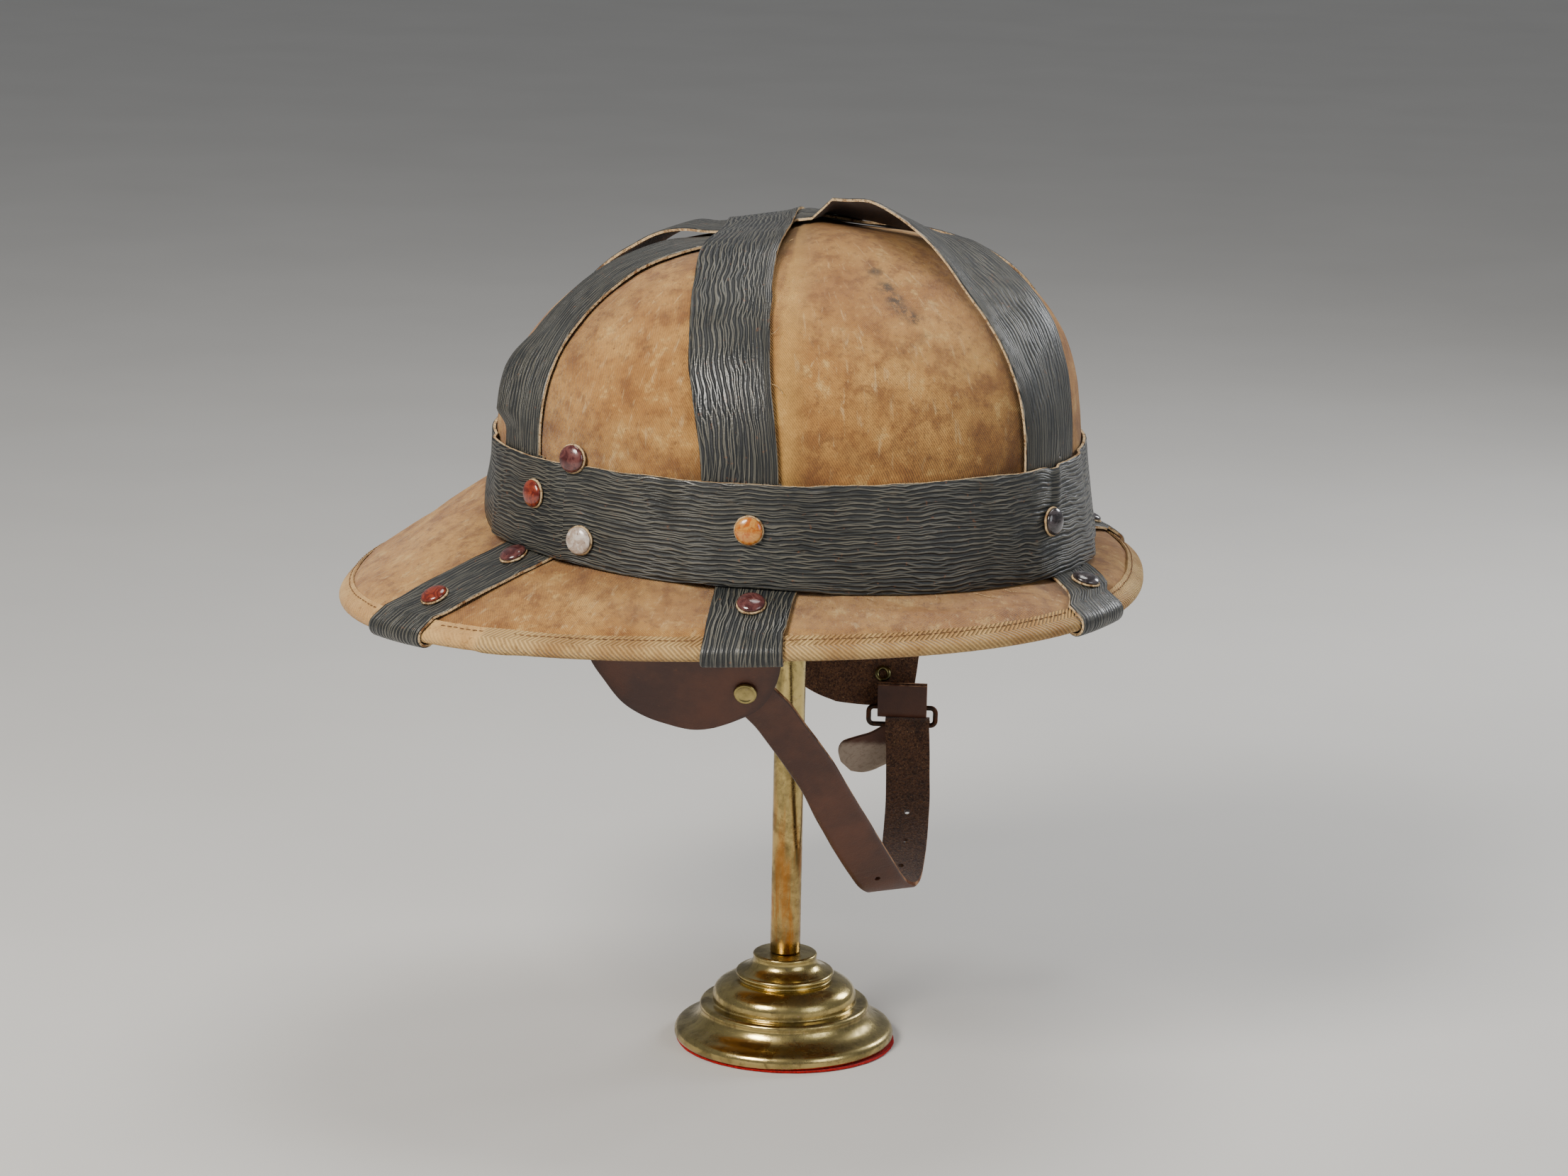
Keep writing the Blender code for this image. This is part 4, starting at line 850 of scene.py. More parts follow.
def slab(name, rows, thickness, surfaces, ring=False, values=None, cap=False):
    """A sheet with two faces. Each row holds (point, normal) pairs; thickness is one number or a function.

    The outer face takes the first surface, the edges the second and the inner face the third.
    """
    columns = len(rows[0])
    count = columns * len(rows)
    outer, inner = [], []
    for r, row in enumerate(rows):
        for c, (point, normal) in enumerate(row):
            deep = thickness(r, c) if callable(thickness) else thickness
            outer.append(point + normal * max(0.0, deep))
            inner.append(point + normal * min(0.0, deep))
    along = [0.0]
    middle = columns // 2
    for lower, upper in zip(rows, rows[1:]):
        along.append(along[-1] + (upper[middle][0] - lower[middle][0]).length)
    wide = max(range(len(rows)), key=lambda r: (rows[r][0][0] - rows[r][-1][0]).length if not ring else
               sum((rows[r][c][0] - rows[r][c - 1][0]).length for c in range(columns)))
    across = [0.0]
    for c in range(1, columns + 1):
        across.append(across[-1] + (rows[wide][c % columns][0] - rows[wide][c - 1][0]).length)
    faces, kinds, lays = [], [], []
    last = columns if ring else columns - 1

    def add(quad, kind, lay):
        faces.append(quad)
        kinds.append(kind)
        lays.append(lay)

    for r in range(len(rows) - 1):
        for c in range(last):
            a, b = r * columns + c, r * columns + (c + 1) % columns
            d, e = a + columns, b + columns
            lay = [(across[i], along[j]) for i, j in ((c, r), (c + 1, r), (c + 1, r + 1), (c, r + 1))]
            add((a, b, e, d), 0, lay)
            add((count + a, count + d, count + e, count + b), 2, lay[:1] + lay[:0:-1])
    if not ring:
        for r in range(len(rows) - 1):
            for c, order in ((0, 1), (columns - 1, -1)):
                a = r * columns + c
                d = a + columns
                lay = ((0.0, along[r]), (0.0, along[r + 1]), (0.001, along[r + 1]), (0.001, along[r]))
                quad = (a, d, count + d, count + a)
                add(quad[::order], 1, lay[::order])
    for r, order in ((0, 1), (len(rows) - 1, -1)):
        if cap and r:
            continue
        for c in range(last):
            a, b = r * columns + c, r * columns + (c + 1) % columns
            lay = ((across[c], 0.0), (across[c], 0.001), (across[c + 1], 0.001), (across[c + 1], 0.0))
            quad = (a, count + a, count + b, b)
            add(quad[::order], 1, lay[::order])
    if cap:
        first = (len(rows) - 1) * columns
        lay = [(across[c], along[-1]) for c in range(columns)]
        add([first + c for c in range(columns)], 0, lay)
        add([count + first + c for c in reversed(range(columns))], 2, lay)
    mesh = bpy.data.meshes.new(name)
    mesh.from_pydata(outer + inner, [], faces)
    layer = mesh.uv_layers.new(name="lay")
    place = 0
    for lay in lays:
        for spot in lay:
            layer.data[place].uv = spot
            place += 1
    mesh.polygons.foreach_set("material_index", kinds)
    mesh.shade_smooth()
    for key, rule in (values or {}).items():
        layer = mesh.attributes.new(key, "FLOAT", "POINT")
        given = [rule(r, c) for r in range(len(rows)) for c in range(columns)]
        layer.data.foreach_set("value", given + given)
    mesh.validate()
    mesh.update()
    shape = bmesh.new()
    shape.from_mesh(mesh)
    bmesh.ops.recalc_face_normals(shape, faces=shape.faces)
    for edge in shape.edges:
        if len(edge.link_faces) == 2 and edge.calc_face_angle() > SHARP_ANGLE:
            edge.smooth = False
    shape.to_mesh(mesh)
    shape.free()
    return add_object(name, mesh, surfaces)


def turned(name, profile, steps, surfaces, place=None):
    """Turn a profile of (radius, height) pairs, top down, about the Z axis."""
    shape = bmesh.new()
    rings = []
    for radius, height in profile:
        if radius < 1e-6:
            rings.append([shape.verts.new((0.0, 0.0, height))])
        else:
            turns = all_round(steps)
            rings.append([shape.verts.new(in_plan(turn, radius, height)) for turn in turns])
    for upper, lower in zip(rings, rings[1:]):
        for k in range(steps):
            beside = (k + 1) % steps
            corners = []
            for ring, index in ((upper, k), (lower, k), (lower, beside), (upper, beside)):
                corner = ring[index % len(ring)]
                if corner not in corners:
                    corners.append(corner)
            if len(corners) > 2:
                shape.faces.new(corners)
    for edge in shape.edges:
        if len(edge.link_faces) == 2 and edge.calc_face_angle() > SHARP_ANGLE:
            edge.smooth = False
    if place is not None:
        shape.transform(place)
    bmesh.ops.recalc_face_normals(shape, faces=shape.faces)
    return shape_object(name, shape, surfaces)


def upright_on(point, normal):
    return Matrix.Translation(point) @ normal.to_track_quat("Z", "Y").to_matrix().to_4x4()


def curved(points, steps):
    """Points on a smooth curve through the given ones."""
    made = []
    for index in range(len(points) - 1):
        before = points[max(0, index - 1)]
        start, end = points[index], points[index + 1]
        after = points[min(len(points) - 1, index + 2)]
        for step in range(steps):
            t = step / steps
            bend = 2.0 * before - 5.0 * start + 4.0 * end - after
            twist = 3.0 * start - before - 3.0 * end + after
            made.append(0.5 * (2.0 * start + (end - before) * t + bend * t * t + twist * t ** 3))
    made.append(points[-1])
    return made


def wander(seed, place, size):
    """Smooth noise of -1 to 1 along a length in metres."""
    return noise.noise(Vector((place / size, seed * 7.31, seed * 3.17)))


def finish_piece(piece, slot, *nodes):
    """Dress CAD nodes with a piece."""
    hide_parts(*nodes)
    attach(piece, "root")
    return piece


def add_detail(name, shape, surface):
    """A piece of the scene's own that stands for no node."""
    piece = shape_object(name, shape, [surface])
    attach(piece, "root")


# Camera, light and floor

def build_stage():
    pitch, yaw, roll = CAMERA_PITCH, CAMERA_YAW, CAMERA_ROLL
    right = Vector((math.cos(yaw), math.sin(yaw), 0.0))
    ahead = Vector((-math.sin(yaw) * math.cos(pitch), math.cos(yaw) * math.cos(pitch), -math.sin(pitch)))
    up = right.cross(ahead)
    rolled_right = right * math.cos(roll) + up * math.sin(roll)
    rolled_up = up * math.cos(roll) - right * math.sin(roll)
    turn = Matrix((rolled_right, rolled_up, -ahead)).transposed().to_4x4()
    data = bpy.data.cameras.new("camera")
    data.sensor_width = SENSOR
    data.lens = CAMERA_LENS
    camera = bpy.data.objects.new("camera", data)
    camera.matrix_world = Matrix.Translation(CAMERA_SPOT) @ turn
    bpy.context.scene.collection.objects.link(camera)
    bpy.context.scene.camera = camera

    mesh = bpy.data.meshes.new("floor")
    around = 96
    corners = [in_plan(turn, FLOOR_RADIUS, 0.0) for turn in all_round(around)]
    mesh.from_pydata(corners, [], [tuple(range(around))])
    s = Shader("pale_floor")
    tone = s.noise(s.place(), 6.0, 3.0)
    floor_colour = s.mix(tone, srgb(196, 194, 190), srgb(206, 204, 200))
    floor = add_object("floor", mesh, [s.finish(floor_colour, 0.8)])

    lights = (
        ("key", (-0.75, -1.10, 1.20), 0.60, 34.0, (1.0, 0.955, 0.89)),
        ("fill", (1.25, -0.95, 0.75), 0.9, 7.0, (0.93, 0.96, 1.0)),
        ("top", (0.15, 0.35, 1.55), 0.8, 12.0, (1.0, 0.98, 0.95)),
        ("rim", (1.0, 0.9, 0.75), 0.5, 9.0, (0.95, 0.97, 1.0)),
    )
    for name, spot, size, power, colour in lights:
        data = bpy.data.lights.new(name, "AREA")
        data.shape = "DISK"
        data.size = size
        data.energy = power
        data.color = colour
        lamp = bpy.data.objects.new(name, data)
        lamp.location = spot
        aim = Vector((0.0, 0.0, 0.20)) - Vector(spot)
        lamp.rotation_euler = aim.to_track_quat("-Z", "Y").to_euler()
        bpy.context.scene.collection.objects.link(lamp)
    world = bpy.data.worlds.new("soft_room")
    world.use_nodes = True
    backdrop = world.node_tree.nodes["Background"]
    backdrop.inputs["Color"].default_value = (0.80, 0.82, 0.85, 1.0)
    backdrop.inputs["Strength"].default_value = 0.30
    bpy.context.scene.world = world


# Crown and brim

def strap_middle(strap):
    start, end = math.radians(strap["start"]), math.radians(strap["end"])
    middle = Vector((-TOP_SIDE * strap["back"], 0.0))
    near_half = in_plan(start, top_radius(start), 0.0).xy - middle
    far_half = in_plan(end, top_radius(end), 0.0).xy - middle
    return start, end, middle, near_half, far_half


def beside_strap(point, strap):
    """Distance in plan from a crown strap's middle line."""
    start, end, middle, near_half, far_half = strap_middle(strap)
    spot = point.xy - middle
    best = 1.0
    for half in (near_half, far_half):
        along = spot.dot(half.normalized())
        if along > 0.0:
            best = min(best, abs(spot.x * half.y - spot.y * half.x) / half.length)
    return best


def loose_swell(point):
    """Where the canvas stands up near the apex, between the side strap and the loose one: 0 to 1."""
    away = (point.xy - Vector(SWELL_SPOT)).length / SWELL_REACH
    return math.exp(-away * away) * smooth(point.x, 0.000, 0.010)


def build_crown():
    around = 216
    azimuths = all_round(around)
    rows = []
    for step in range(6):
        row = []
        for azimuth in azimuths:
            height = foot_level(azimuth) * (1.0 - step / 6.0) + BAND_TOP_LEVEL * step / 6.0
            row.append((wall_point(azimuth, height), wall_normal(azimuth, height)))
        rows.append(row)
    dome_rows = 46
    for step in range(dome_rows):
        share = math.cos(math.pi / 2.0 * step / dome_rows) ** ROW_CROWDING
        row = []
        for azimuth in azimuths:
            point, normal = dome_point(azimuth, share), dome_normal(azimuth, share)
            swell = noise.noise(point * 34.0) * 0.0005 + noise.noise(point * 120.0) * 0.00018
            swell += SWELL * loose_swell(point)
            row.append((point + normal * (swell - 0.0002 + apex_rise(point.xy)), normal))
        rows.append(row)

    def pale(r, c):
        point = rows[r][c][0]
        away = beside_strap(point, CROWN_STRAPS["crown_strap_side"]) - STRAP_WIDTH / 2.0
        return 0.5 * (1.0 - smooth(away, 0.0, 0.010)) * (1.0 if point.x > 0.0 else 0.2)

    # Mask for darker canvas near the band's top, beside the straps and on the lower front: partly grime, partly
    # painted shade.
    def grime_and_shade(r, c):
        point = rows[r][c][0]
        low = 1.0 - smooth(point.z, BAND_TOP_LEVEL + 0.001, BAND_TOP_LEVEL + 0.030)
        edge = 0.0
        for strap in CROWN_STRAPS.values():
            away = beside_strap(point, strap) - STRAP_WIDTH / 2.0
            edge = max(edge, 1.0 - smooth(away, 0.0, 0.012))
        front = smooth(point.x, 0.01, 0.09) * (1.0 - smooth(point.z, 0.27, 0.33)) * (1.0 if point.y < 0.0 else 0.4)
        cloud = 0.5 + 0.5 * noise.noise(point * 60.0)
        return min(1.0, (0.55 * low + 0.50 * edge + 0.45 * front + 0.10) * cloud)

    # A trail of stains: place in the picture and reach in metres
    spots = (
        (1235, 385, 0.00324), (1250, 405, 0.00360), (1263, 425, 0.00396), (1275, 440, 0.00288),
        (1290, 450, 0.00288), (1300, 475, 0.00144),
    )
    marks = [(at_pixel(x, y), reach) for x, y, reach in spots]

    def stain(r, c):
        point = rows[r][c][0]
        return max(1.0 - smooth((point - mark).length, reach * 0.4, reach * 1.5) for mark, reach in marks)

    def wall(r, c):
        return -max(THINNEST_WALL, SHELL_WALL + apex_rise(rows[r][c][0].xy))

    crown = slab("visual_crown", rows, wall, [CANVAS, CANVAS, CANVAS], ring=True,
                 values={"grime_and_shade": grime_and_shade, "stain": stain, "pale": pale}, cap=True)
    return finish_piece(crown, "canvas", "crown")


def at_pixel(x, y):
    """Point on the crown that the camera sees at a pixel of the picture."""
    camera = bpy.context.scene.camera
    turn = camera.matrix_world.to_3x3()
    focal = camera.data.lens * PICTURE[0] / SENSOR
    across, down = (x - PICTURE[0] / 2.0) / focal, (y - PICTURE[1] / 2.0) / focal
    ray = (turn @ Vector((across, -down, -1.0))).normalized()
    start = camera.matrix_world.translation
    for step in range(900):
        point = start + ray * (1.55 + step * 0.0005)
        azimuth = math.atan2(point.y, point.x)
        share = point.xy.length / top_radius(azimuth)
        if share < 1.0 and point.z < dome_point(azimuth, share).z:
            break
    return point


def build_brim():
    around = 240
    azimuths = all_round(around)
    # Ridges pressed into the cloth: azimuth, share out, half length and half width in degrees and shares, height
    ridges = (
        (-62.0, 0.55, 9.0, 0.10, 0.0017), (-55.0, 0.42, 7.0, 0.08, -0.0014), (-48.0, 0.62, 8.0, 0.09, 0.0016),
        (-43.0, 0.36, 5.0, 0.09, 0.0014), (-70.0, 0.70, 10.0, 0.08, 0.0006), (-120.0, 0.55, 10.0, 0.14, 0.0006),
        (-170.0, 0.45, 8.0, 0.12, 0.0008), (170.0, 0.60, 9.0, 0.10, -0.0007), (60.0, 0.5, 10.0, 0.1, 0.0008),
    )
    rows = []
    inner = []
    for azimuth in azimuths:
        foot = brim_point(azimuth, 0.0) - wall_normal(azimuth, foot_level(azimuth)) * SHELL_WALL
        inner.append((foot, brim_normal(azimuth, 0.0)))
    rows.append(inner)
    outs = 18
    for step in range(outs + 1):
        row = []
        for azimuth in azimuths:
            out = step / outs
            point, normal = brim_point(azimuth, out), brim_normal(azimuth, out)
            window = hill(out, 0.05, 0.25, 0.78, 0.92)
            lift = noise.noise(point * 45.0) * 0.0006
            for middle, where, long, wide, high in ridges:
                turn = apart(azimuth, middle) / long
                slant = (out - where - 0.10 * turn) / wide
                lift += high * math.exp(-turn * turn - slant * slant)
            row.append((point + normal * lift * window, normal))
        rows.append(row)
    rows = rows[::-1]

    # Mask for darker canvas beside the brim straps and at the crown's foot: partly grime, partly painted shade.
    def grime_and_shade(r, c):
        point = rows[r][c][0]
        azimuth = math.atan2(point.y, point.x)
        edge = 0.0
        for strap in BRIM_STRAPS:
            turn = math.radians(abs(apart(azimuth, (strap["at_band"] + strap["at_rim"]) / 2.0)))
            away = turn * point.xy.length
            edge = max(edge, 1.0 - smooth(away - STRAP_WIDTH / 2.0, 0.0, 0.014))
        root = 1.0 - smooth(point.xy.length - foot_radius(azimuth), 0.002, 0.014)
        cloud = 0.5 + 0.5 * noise.noise(point * 70.0)
        return min(1.0, 0.40 * edge * cloud + 0.40 * root * cloud + 0.08)

    brim = slab("visual_brim", rows, -BRIM_WALL, [CANVAS, CANVAS, CANVAS], ring=True,
                values={"grime_and_shade": grime_and_shade, "stain": lambda r, c: 0.0, "pale": lambda r, c: 0.0})
    return finish_piece(brim, "canvas", "brim")


def build_binding():
    around = 360

    def section(azimuth):
        edge = 0.0004 * wander(3, azimuth * 0.15, 0.012)
        made = around_rim(azimuth, BINDING_LEG + edge, GAP, 4, 10)
        past_join = apart(azimuth, JOIN_AZIMUTH)
        lap = 0.0005 * hill(past_join, -0.15, 0.15, 3.5, 7.0)
        pucker = 0.00010 * math.sin(azimuth * 330.0 / 2.0)
        return [(point + normal * (lap + pucker * (1.0 if index < 3 else 0.3)), normal)
                for index, (point, normal) in enumerate(made)]

    rows = [section(2.0 * math.pi * k / around) for k in range(around + 1)]

    def worn(r, c):
        azimuth = 2.0 * math.pi * r / around
        back = 1.0 if apart(azimuth, JOIN_AZIMUTH) < 0.0 and apart(azimuth, -180.0) > 0.0 else 0.0
        return min(1.0, 0.75 * back + 0.25 * (0.5 + 0.5 * wander(9, azimuth * 0.15, 0.02)))

    binding = slab("visual_binding", rows, TAPE, [TAPE_CLOTH, TAPE_CLOTH, TAPE_CLOTH], values={"worn": worn})
    shape = bmesh.new()
    shape.from_mesh(binding.data)
    ends = [face for face in shape.faces if all(abs(v.co.y) < 1e-5 and v.co.x > 0.0 for v in face.verts)]
    bmesh.ops.delete(shape, geom=ends, context="FACES_ONLY")
    bmesh.ops.remove_doubles(shape, verts=shape.verts, dist=0.00001)
    shape.to_mesh(binding.data)
    shape.free()
    return finish_piece(binding, "binding_tape", "brim_binding")


def capsule(shape, start, end, radius, up, sides=6):
    """A short thread from start to end, thin at both ends."""
    along = (end - start).normalized()
    beside = along.cross(up).normalized()
    over = beside.cross(along)
    rings = []
    for share, swell in ((0.0, 0.35), (0.2, 0.95), (0.5, 1.1), (0.8, 0.95), (1.0, 0.35)):
        middle = start.lerp(end, share) + up * radius * 0.5 * math.sin(math.pi * share)
        rings.append(round_ring(shape, middle, beside, over, radius * swell, sides))
    join_rings(shape, [ring[::-1] for ring in rings])
    shape.faces.new(rings[0][::-1])
    shape.faces.new(rings[-1])


def build_stitches():
    """The row of stitches that holds the binding's upper leg."""
    shape = bmesh.new()
    for k in range(STITCHES):
        pair = []
        for end in (0.12, 0.88):
            azimuth = 2.0 * math.pi * (k + end) / STITCHES
            inset = BINDING_LEG * 0.72 + 0.0003 * wander(5, azimuth * 0.15, 0.008)
            point, up = around_rim(azimuth, inset, GAP + TAPE, 1, 2)[0]
            pair.append(point + up * 0.00005)
        if all(abs(apart(azimuth, strap["at_rim"])) >= STITCH_CLEAR for strap in BRIM_STRAPS):
            capsule(shape, pair[0], pair[1], STITCH_RADIUS, up)
    add_detail("rim_stitches", shape, THREAD)


# Straps and band

def crown_strap_rest(spot, strap):
    """Height of a strap over the crown's even dome where it lies tight."""
    stacked = 1.0 - smooth((spot - CROSSING).length, STACK_REACH, STACK_REACH + STACK_FADE)
    tight = STRAP_LIFT - STACK_EASE * stacked
    return tight + strap["under"] * (LEATHER + STACK_GAP) * stacked + apex_rise(spot)


def crown_strap_lift(spot, strap):
    """The same with the slack on either side of the strap that crosses over it."""
    from_side = spot - CROSSING
    lift = crown_strap_rest(spot, strap)
    azimuth = math.radians(CROWN_STRAPS["crown_strap_side"]["start"])
    beside = from_side.x * math.sin(azimuth) - from_side.y * math.cos(azimuth)
    slack = SLACK_HEIGHT * strap["slack"][0 if beside < 0.0 else 1]
    beside = abs(beside)
    held = SLACK_PEAK + SLACK_HOLD * strap["slack"][0]
    return lift + slack * smooth(beside, SLACK_START, SLACK_PEAK) * (1.0 - smooth(beside, held, SLACK_END))


def strap_laterals(place, seed, wider=0.0):
    """Distances across a strap at a place along it, with cut edges that wander a little."""
    half = STRAP_WIDTH / 2.0
    left = -half + 0.00045 * wander(seed, place, 0.011) + 0.0002 * wander(seed + 1, place, 0.003)
    right = half + wider + 0.00045 * wander(seed + 2, place, 0.011) + 0.0002 * wander(seed + 3, place, 0.003)
    inner = [left + 0.0005] + [left + (right - left) * k / 10.0 for k in range(1, 10)] + [right - 0.0005]
    return [left] + inner + [right]


def build_crown_strap(name, strap, seed):
    start, end, middle, near_half, far_half = strap_middle(strap)
    sideways = Vector((near_half.y, -near_half.x)).normalized() * TOP_SIDE * strap["bow"]
    fore = name == "crown_strap_fore"
    rows = []

    def wall_row(azimuth, height, sign, place):
        row = []
        wider = FORE_WIDER if fore and sign > 0.0 else 0.0
        for lateral in strap_laterals(place, seed, wider):
            turned_azimuth = azimuth + math.atan2(sign * lateral, top_radius(azimuth))
            point, normal = wall_point(turned_azimuth, height), wall_normal(turned_azimuth, height)
            row.append((point + normal * STRAP_LIFT, normal))
        return row

    steps = 64
    shares = [math.sin(math.pi / 2.0 * k / steps) ** ROW_CROWDING for k in range(1, steps + 1)]
    for k in range(4):
        drop = STRAP_TUCK * (1.0 - k / 4.0)
        rows.append(wall_row(start, BAND_TOP_LEVEL - drop, 1.0, -0.15 - drop))
    for share in shares[::-1] + [0.0] + [-share for share in shares]:
        half = near_half if share > 0.0 else far_half
        turn = smooth(-share, -CROSSING_TURN, CROSSING_TURN)
        along = near_half.normalized().lerp(-far_half.normalized(), turn)
        across = Vector((-along.y, along.x)).normalized()
        foot = (middle + half).normalized() * math.copysign(1.0, share)
        turn = smooth(abs(share), 1.0 - CROSSING_TURN, 1.0)
        across = across.lerp(Vector((-foot.y, foot.x)), turn).normalized()
        spot = middle + half * abs(share)
        if share > 0.0:
            spot += sideways * smooth(share, 0.0, BOW_GROWS) * (1.0 - share ** BOW_DIES)
        if fore:
            spot += across * FORE_SHIFT * hill(share, -0.15, 0.08, 0.15, 0.92)
        if name == "crown_strap_aft":
            spot -= across * AFT_SHIFT * hill(-share, 0.0, 0.14, 0.35, 0.85)
        place = -share * 0.15
        curl = 0.5 + 0.5 * wander(seed + 4, place, 0.03)
        free = hill(abs(share), 0.16, 0.30, 0.95, 1.0)
        wider = 0.0
        if fore:
            wider = FORE_WIDER_SOON * smooth(share, 0.15, 0.45)
            wider += (FORE_WIDER - FORE_WIDER_SOON) * smooth(share, 0.6, 0.85)
        row = []
        for lateral in strap_laterals(place, seed, wider):
            beside = spot + across * lateral
            azimuth = math.atan2(beside.y, beside.x)
            out = min(1.0, beside.length / top_radius(azimuth))
            side = 2.0 * lateral / STRAP_WIDTH
            lift = crown_strap_lift(beside, strap)
            if fore:
                # In front the edge beside the crossing strap stands highest, and behind it lies lowest
                mid = 0.70 + 0.24 * smooth(share, 0.18, 0.34)
                ahead = mid + (1.20 - mid) * -side if side < 0.0 else mid - (mid - 0.04) * side ** 1.2
                behind = 0.70 + 0.45 * side
                tilt = behind + (ahead - behind) * smooth(share, -0.12, 0.02)
                # Where it bridges the soft peak of the cloth, the higher of the two counts
                slack, rise = lift - crown_strap_rest(beside, strap), max(0.0, apex_rise(beside))
                above = slack * tilt - rise
                blend = BRIDGE_BLEND * smooth(abs(share), 0.04, 0.15)
                lift += (above + math.hypot(above, blend)) / 2.0 - slack
            lift += EDGE_CURL * curl * free * abs(side) ** 3
            if fore and share > 0.0:
                # The loose strap stands off the cloth along its forward edge, and by the bridge along the other
                off = smooth(side, -0.6, 1.0) * hill(share, 0.32, 0.60, 0.86, 1.0)
                near = smooth(-side, 0.0, 1.0) * hill(share, 0.18, 0.32, 0.55, 0.80)
                lift += FORE_STANDS_OFF * off + FORE_NEAR_EDGE * near
            if name == "crown_strap_aft" and share > 0.0:
                off = smooth(-side, -0.4, 1.0) * hill(share, 0.82, 0.94, 0.985, 1.0)
                lift += AFT_STANDS_OFF * off
            normal = dome_normal(azimuth, out)
            row.append((dome_point(azimuth, out) + normal * lift, normal))
        rows.append(row)
    for k in range(1, 5):
        drop = STRAP_TUCK * k / 4.0
        rows.append(wall_row(end, BAND_TOP_LEVEL - drop, -1.0, 0.15 + drop))
    rows = [row[::-1] for row in rows]
    strap_piece = slab("visual_" + name, rows, edge_thickness(rows, LEATHER), [GRAINED, RAW_EDGE, BACKING])
    return finish_piece(strap_piece, "grained_leather", name)


def edge_thickness(rows, thickness):
    """Full thickness, but a little less at the cut edges, which rounds them."""
    last = len(rows[0]) - 1
    return lambda r, c: thickness * (0.72 if c in (0, last) else 1.0)


def stud_spots():
    """Each stud's place, normal and look."""
    spots = []
    for number, stud in enumerate(BAND_STUDS, 1):
        azimuth = math.radians(stud["azimuth"])
        normal = band_normal(azimuth, stud["height"])
        point = band_point(azimuth, stud["height"]) + normal * (BAND_LEATHER + GAP + BAND_STUD_EASE)
        spots.append((f"band_stud_{number}", point, normal, stud["look"]))
    for number, stud in enumerate(BRIM_STUDS, 1):
        strap = BRIM_STRAPS[stud["strap"] - 1]
        azimuth = math.radians(strap["at_band"] + (strap["at_rim"] - strap["at_band"]) * stud["out"])
        normal = brim_normal(azimuth, stud["out"])
        point = brim_point(azimuth, stud["out"]) + normal * (STRAP_LIFT + LEATHER + GAP + BRIM_STUD_EASE)
        spots.append((f"brim_stud_{number}", point, normal, stud["look"]))
    return spots


STUD_SPOTS = stud_spots()


def dimple(point, depth, reach):
    """How far leather is drawn in round the nearest stud."""
    nearest = min((point - spot[1]).length for spot in STUD_SPOTS)
    if nearest < STUD_RADIUS * 0.9:
        return 0.0
    ring = (nearest - STUD_RADIUS) / reach
    return -depth * math.exp(-ring * ring) * smooth(nearest, STUD_RADIUS * 0.9, STUD_RADIUS * 1.05)


def build_band():
    around = 400
    levels = [0.0, 0.012] + [k / 14.0 for k in range(1, 14)] + [0.988, 1.0]
    rows = []
    for k in range(around + 1):
        azimuth = -math.pi * 0.75 + 2.0 * math.pi * k / around
        place = azimuth * 0.115
        row = []
        for level in levels:
            edge = 0.0
            if level > 0.9:
                edge = 0.0005 * wander(21, place, 0.013) + 0.0002 * wander(22, place, 0.003)
                edge -= 0.0012 * math.exp(-(apart(azimuth, -28.0) / 1.6) ** 2)
            if level < 0.1:
                edge = 0.0003 * wander(23, place, 0.015)
            over = near_strap(azimuth, [strap["at_band"] for strap in BRIM_STRAPS])
            edge -= (BAND_DROP - BAND_DROP_LESS * over) * (1.0 - smooth(level, 0.0, 0.15))
            point, normal = band_point(azimuth, level), wall_normal(azimuth, BAND_TOP_LEVEL)
            point.z += edge
            lift = 0.0005 * noise.noise(point * 50.0) * hill(level, 0.0, 0.3, 0.7, 1.0)
            lift += dimple(point + normal * BAND_LEATHER, 0.0007, 0.0045)
            # A pressed crease runs from the upper edge down to the stud in front
            crease = apart(azimuth, -28.6 - 0.9 * (1.0 - level)) / 0.75
            ridge = apart(azimuth, -27.0 - 0.9 * (1.0 - level)) / 0.9
            span = smooth(level, 0.44, 0.60)
            lift += span * (-0.0004 * math.exp(-crease * crease) + 0.0011 * math.exp(-ridge * ridge))
            # At the back the lower edge stands out over the brim's slope
            back = math.exp(-(apart(azimuth, -172.0) / 22.0) ** 2)
            lift += 0.0020 * back * (1.0 - smooth(level, 0.0, 0.7))
            row.append((point + normal * lift, normal))
        rows.append(row)
    band = slab("visual_band", rows, edge_thickness(rows, BAND_LEATHER), [GRAINED, RAW_EDGE, BACKING])
    # Cut edges more than 10 mm below the band's top take the dark backing colour instead of the pale raw edge:
    # painted shade along the band's foot.
    for face in band.data.polygons:
        if face.material_index == 1 and face.center.z < BAND_TOP_LEVEL - 0.010:
            face.material_index = 2
    return finish_piece(band, "grained_leather", "band")


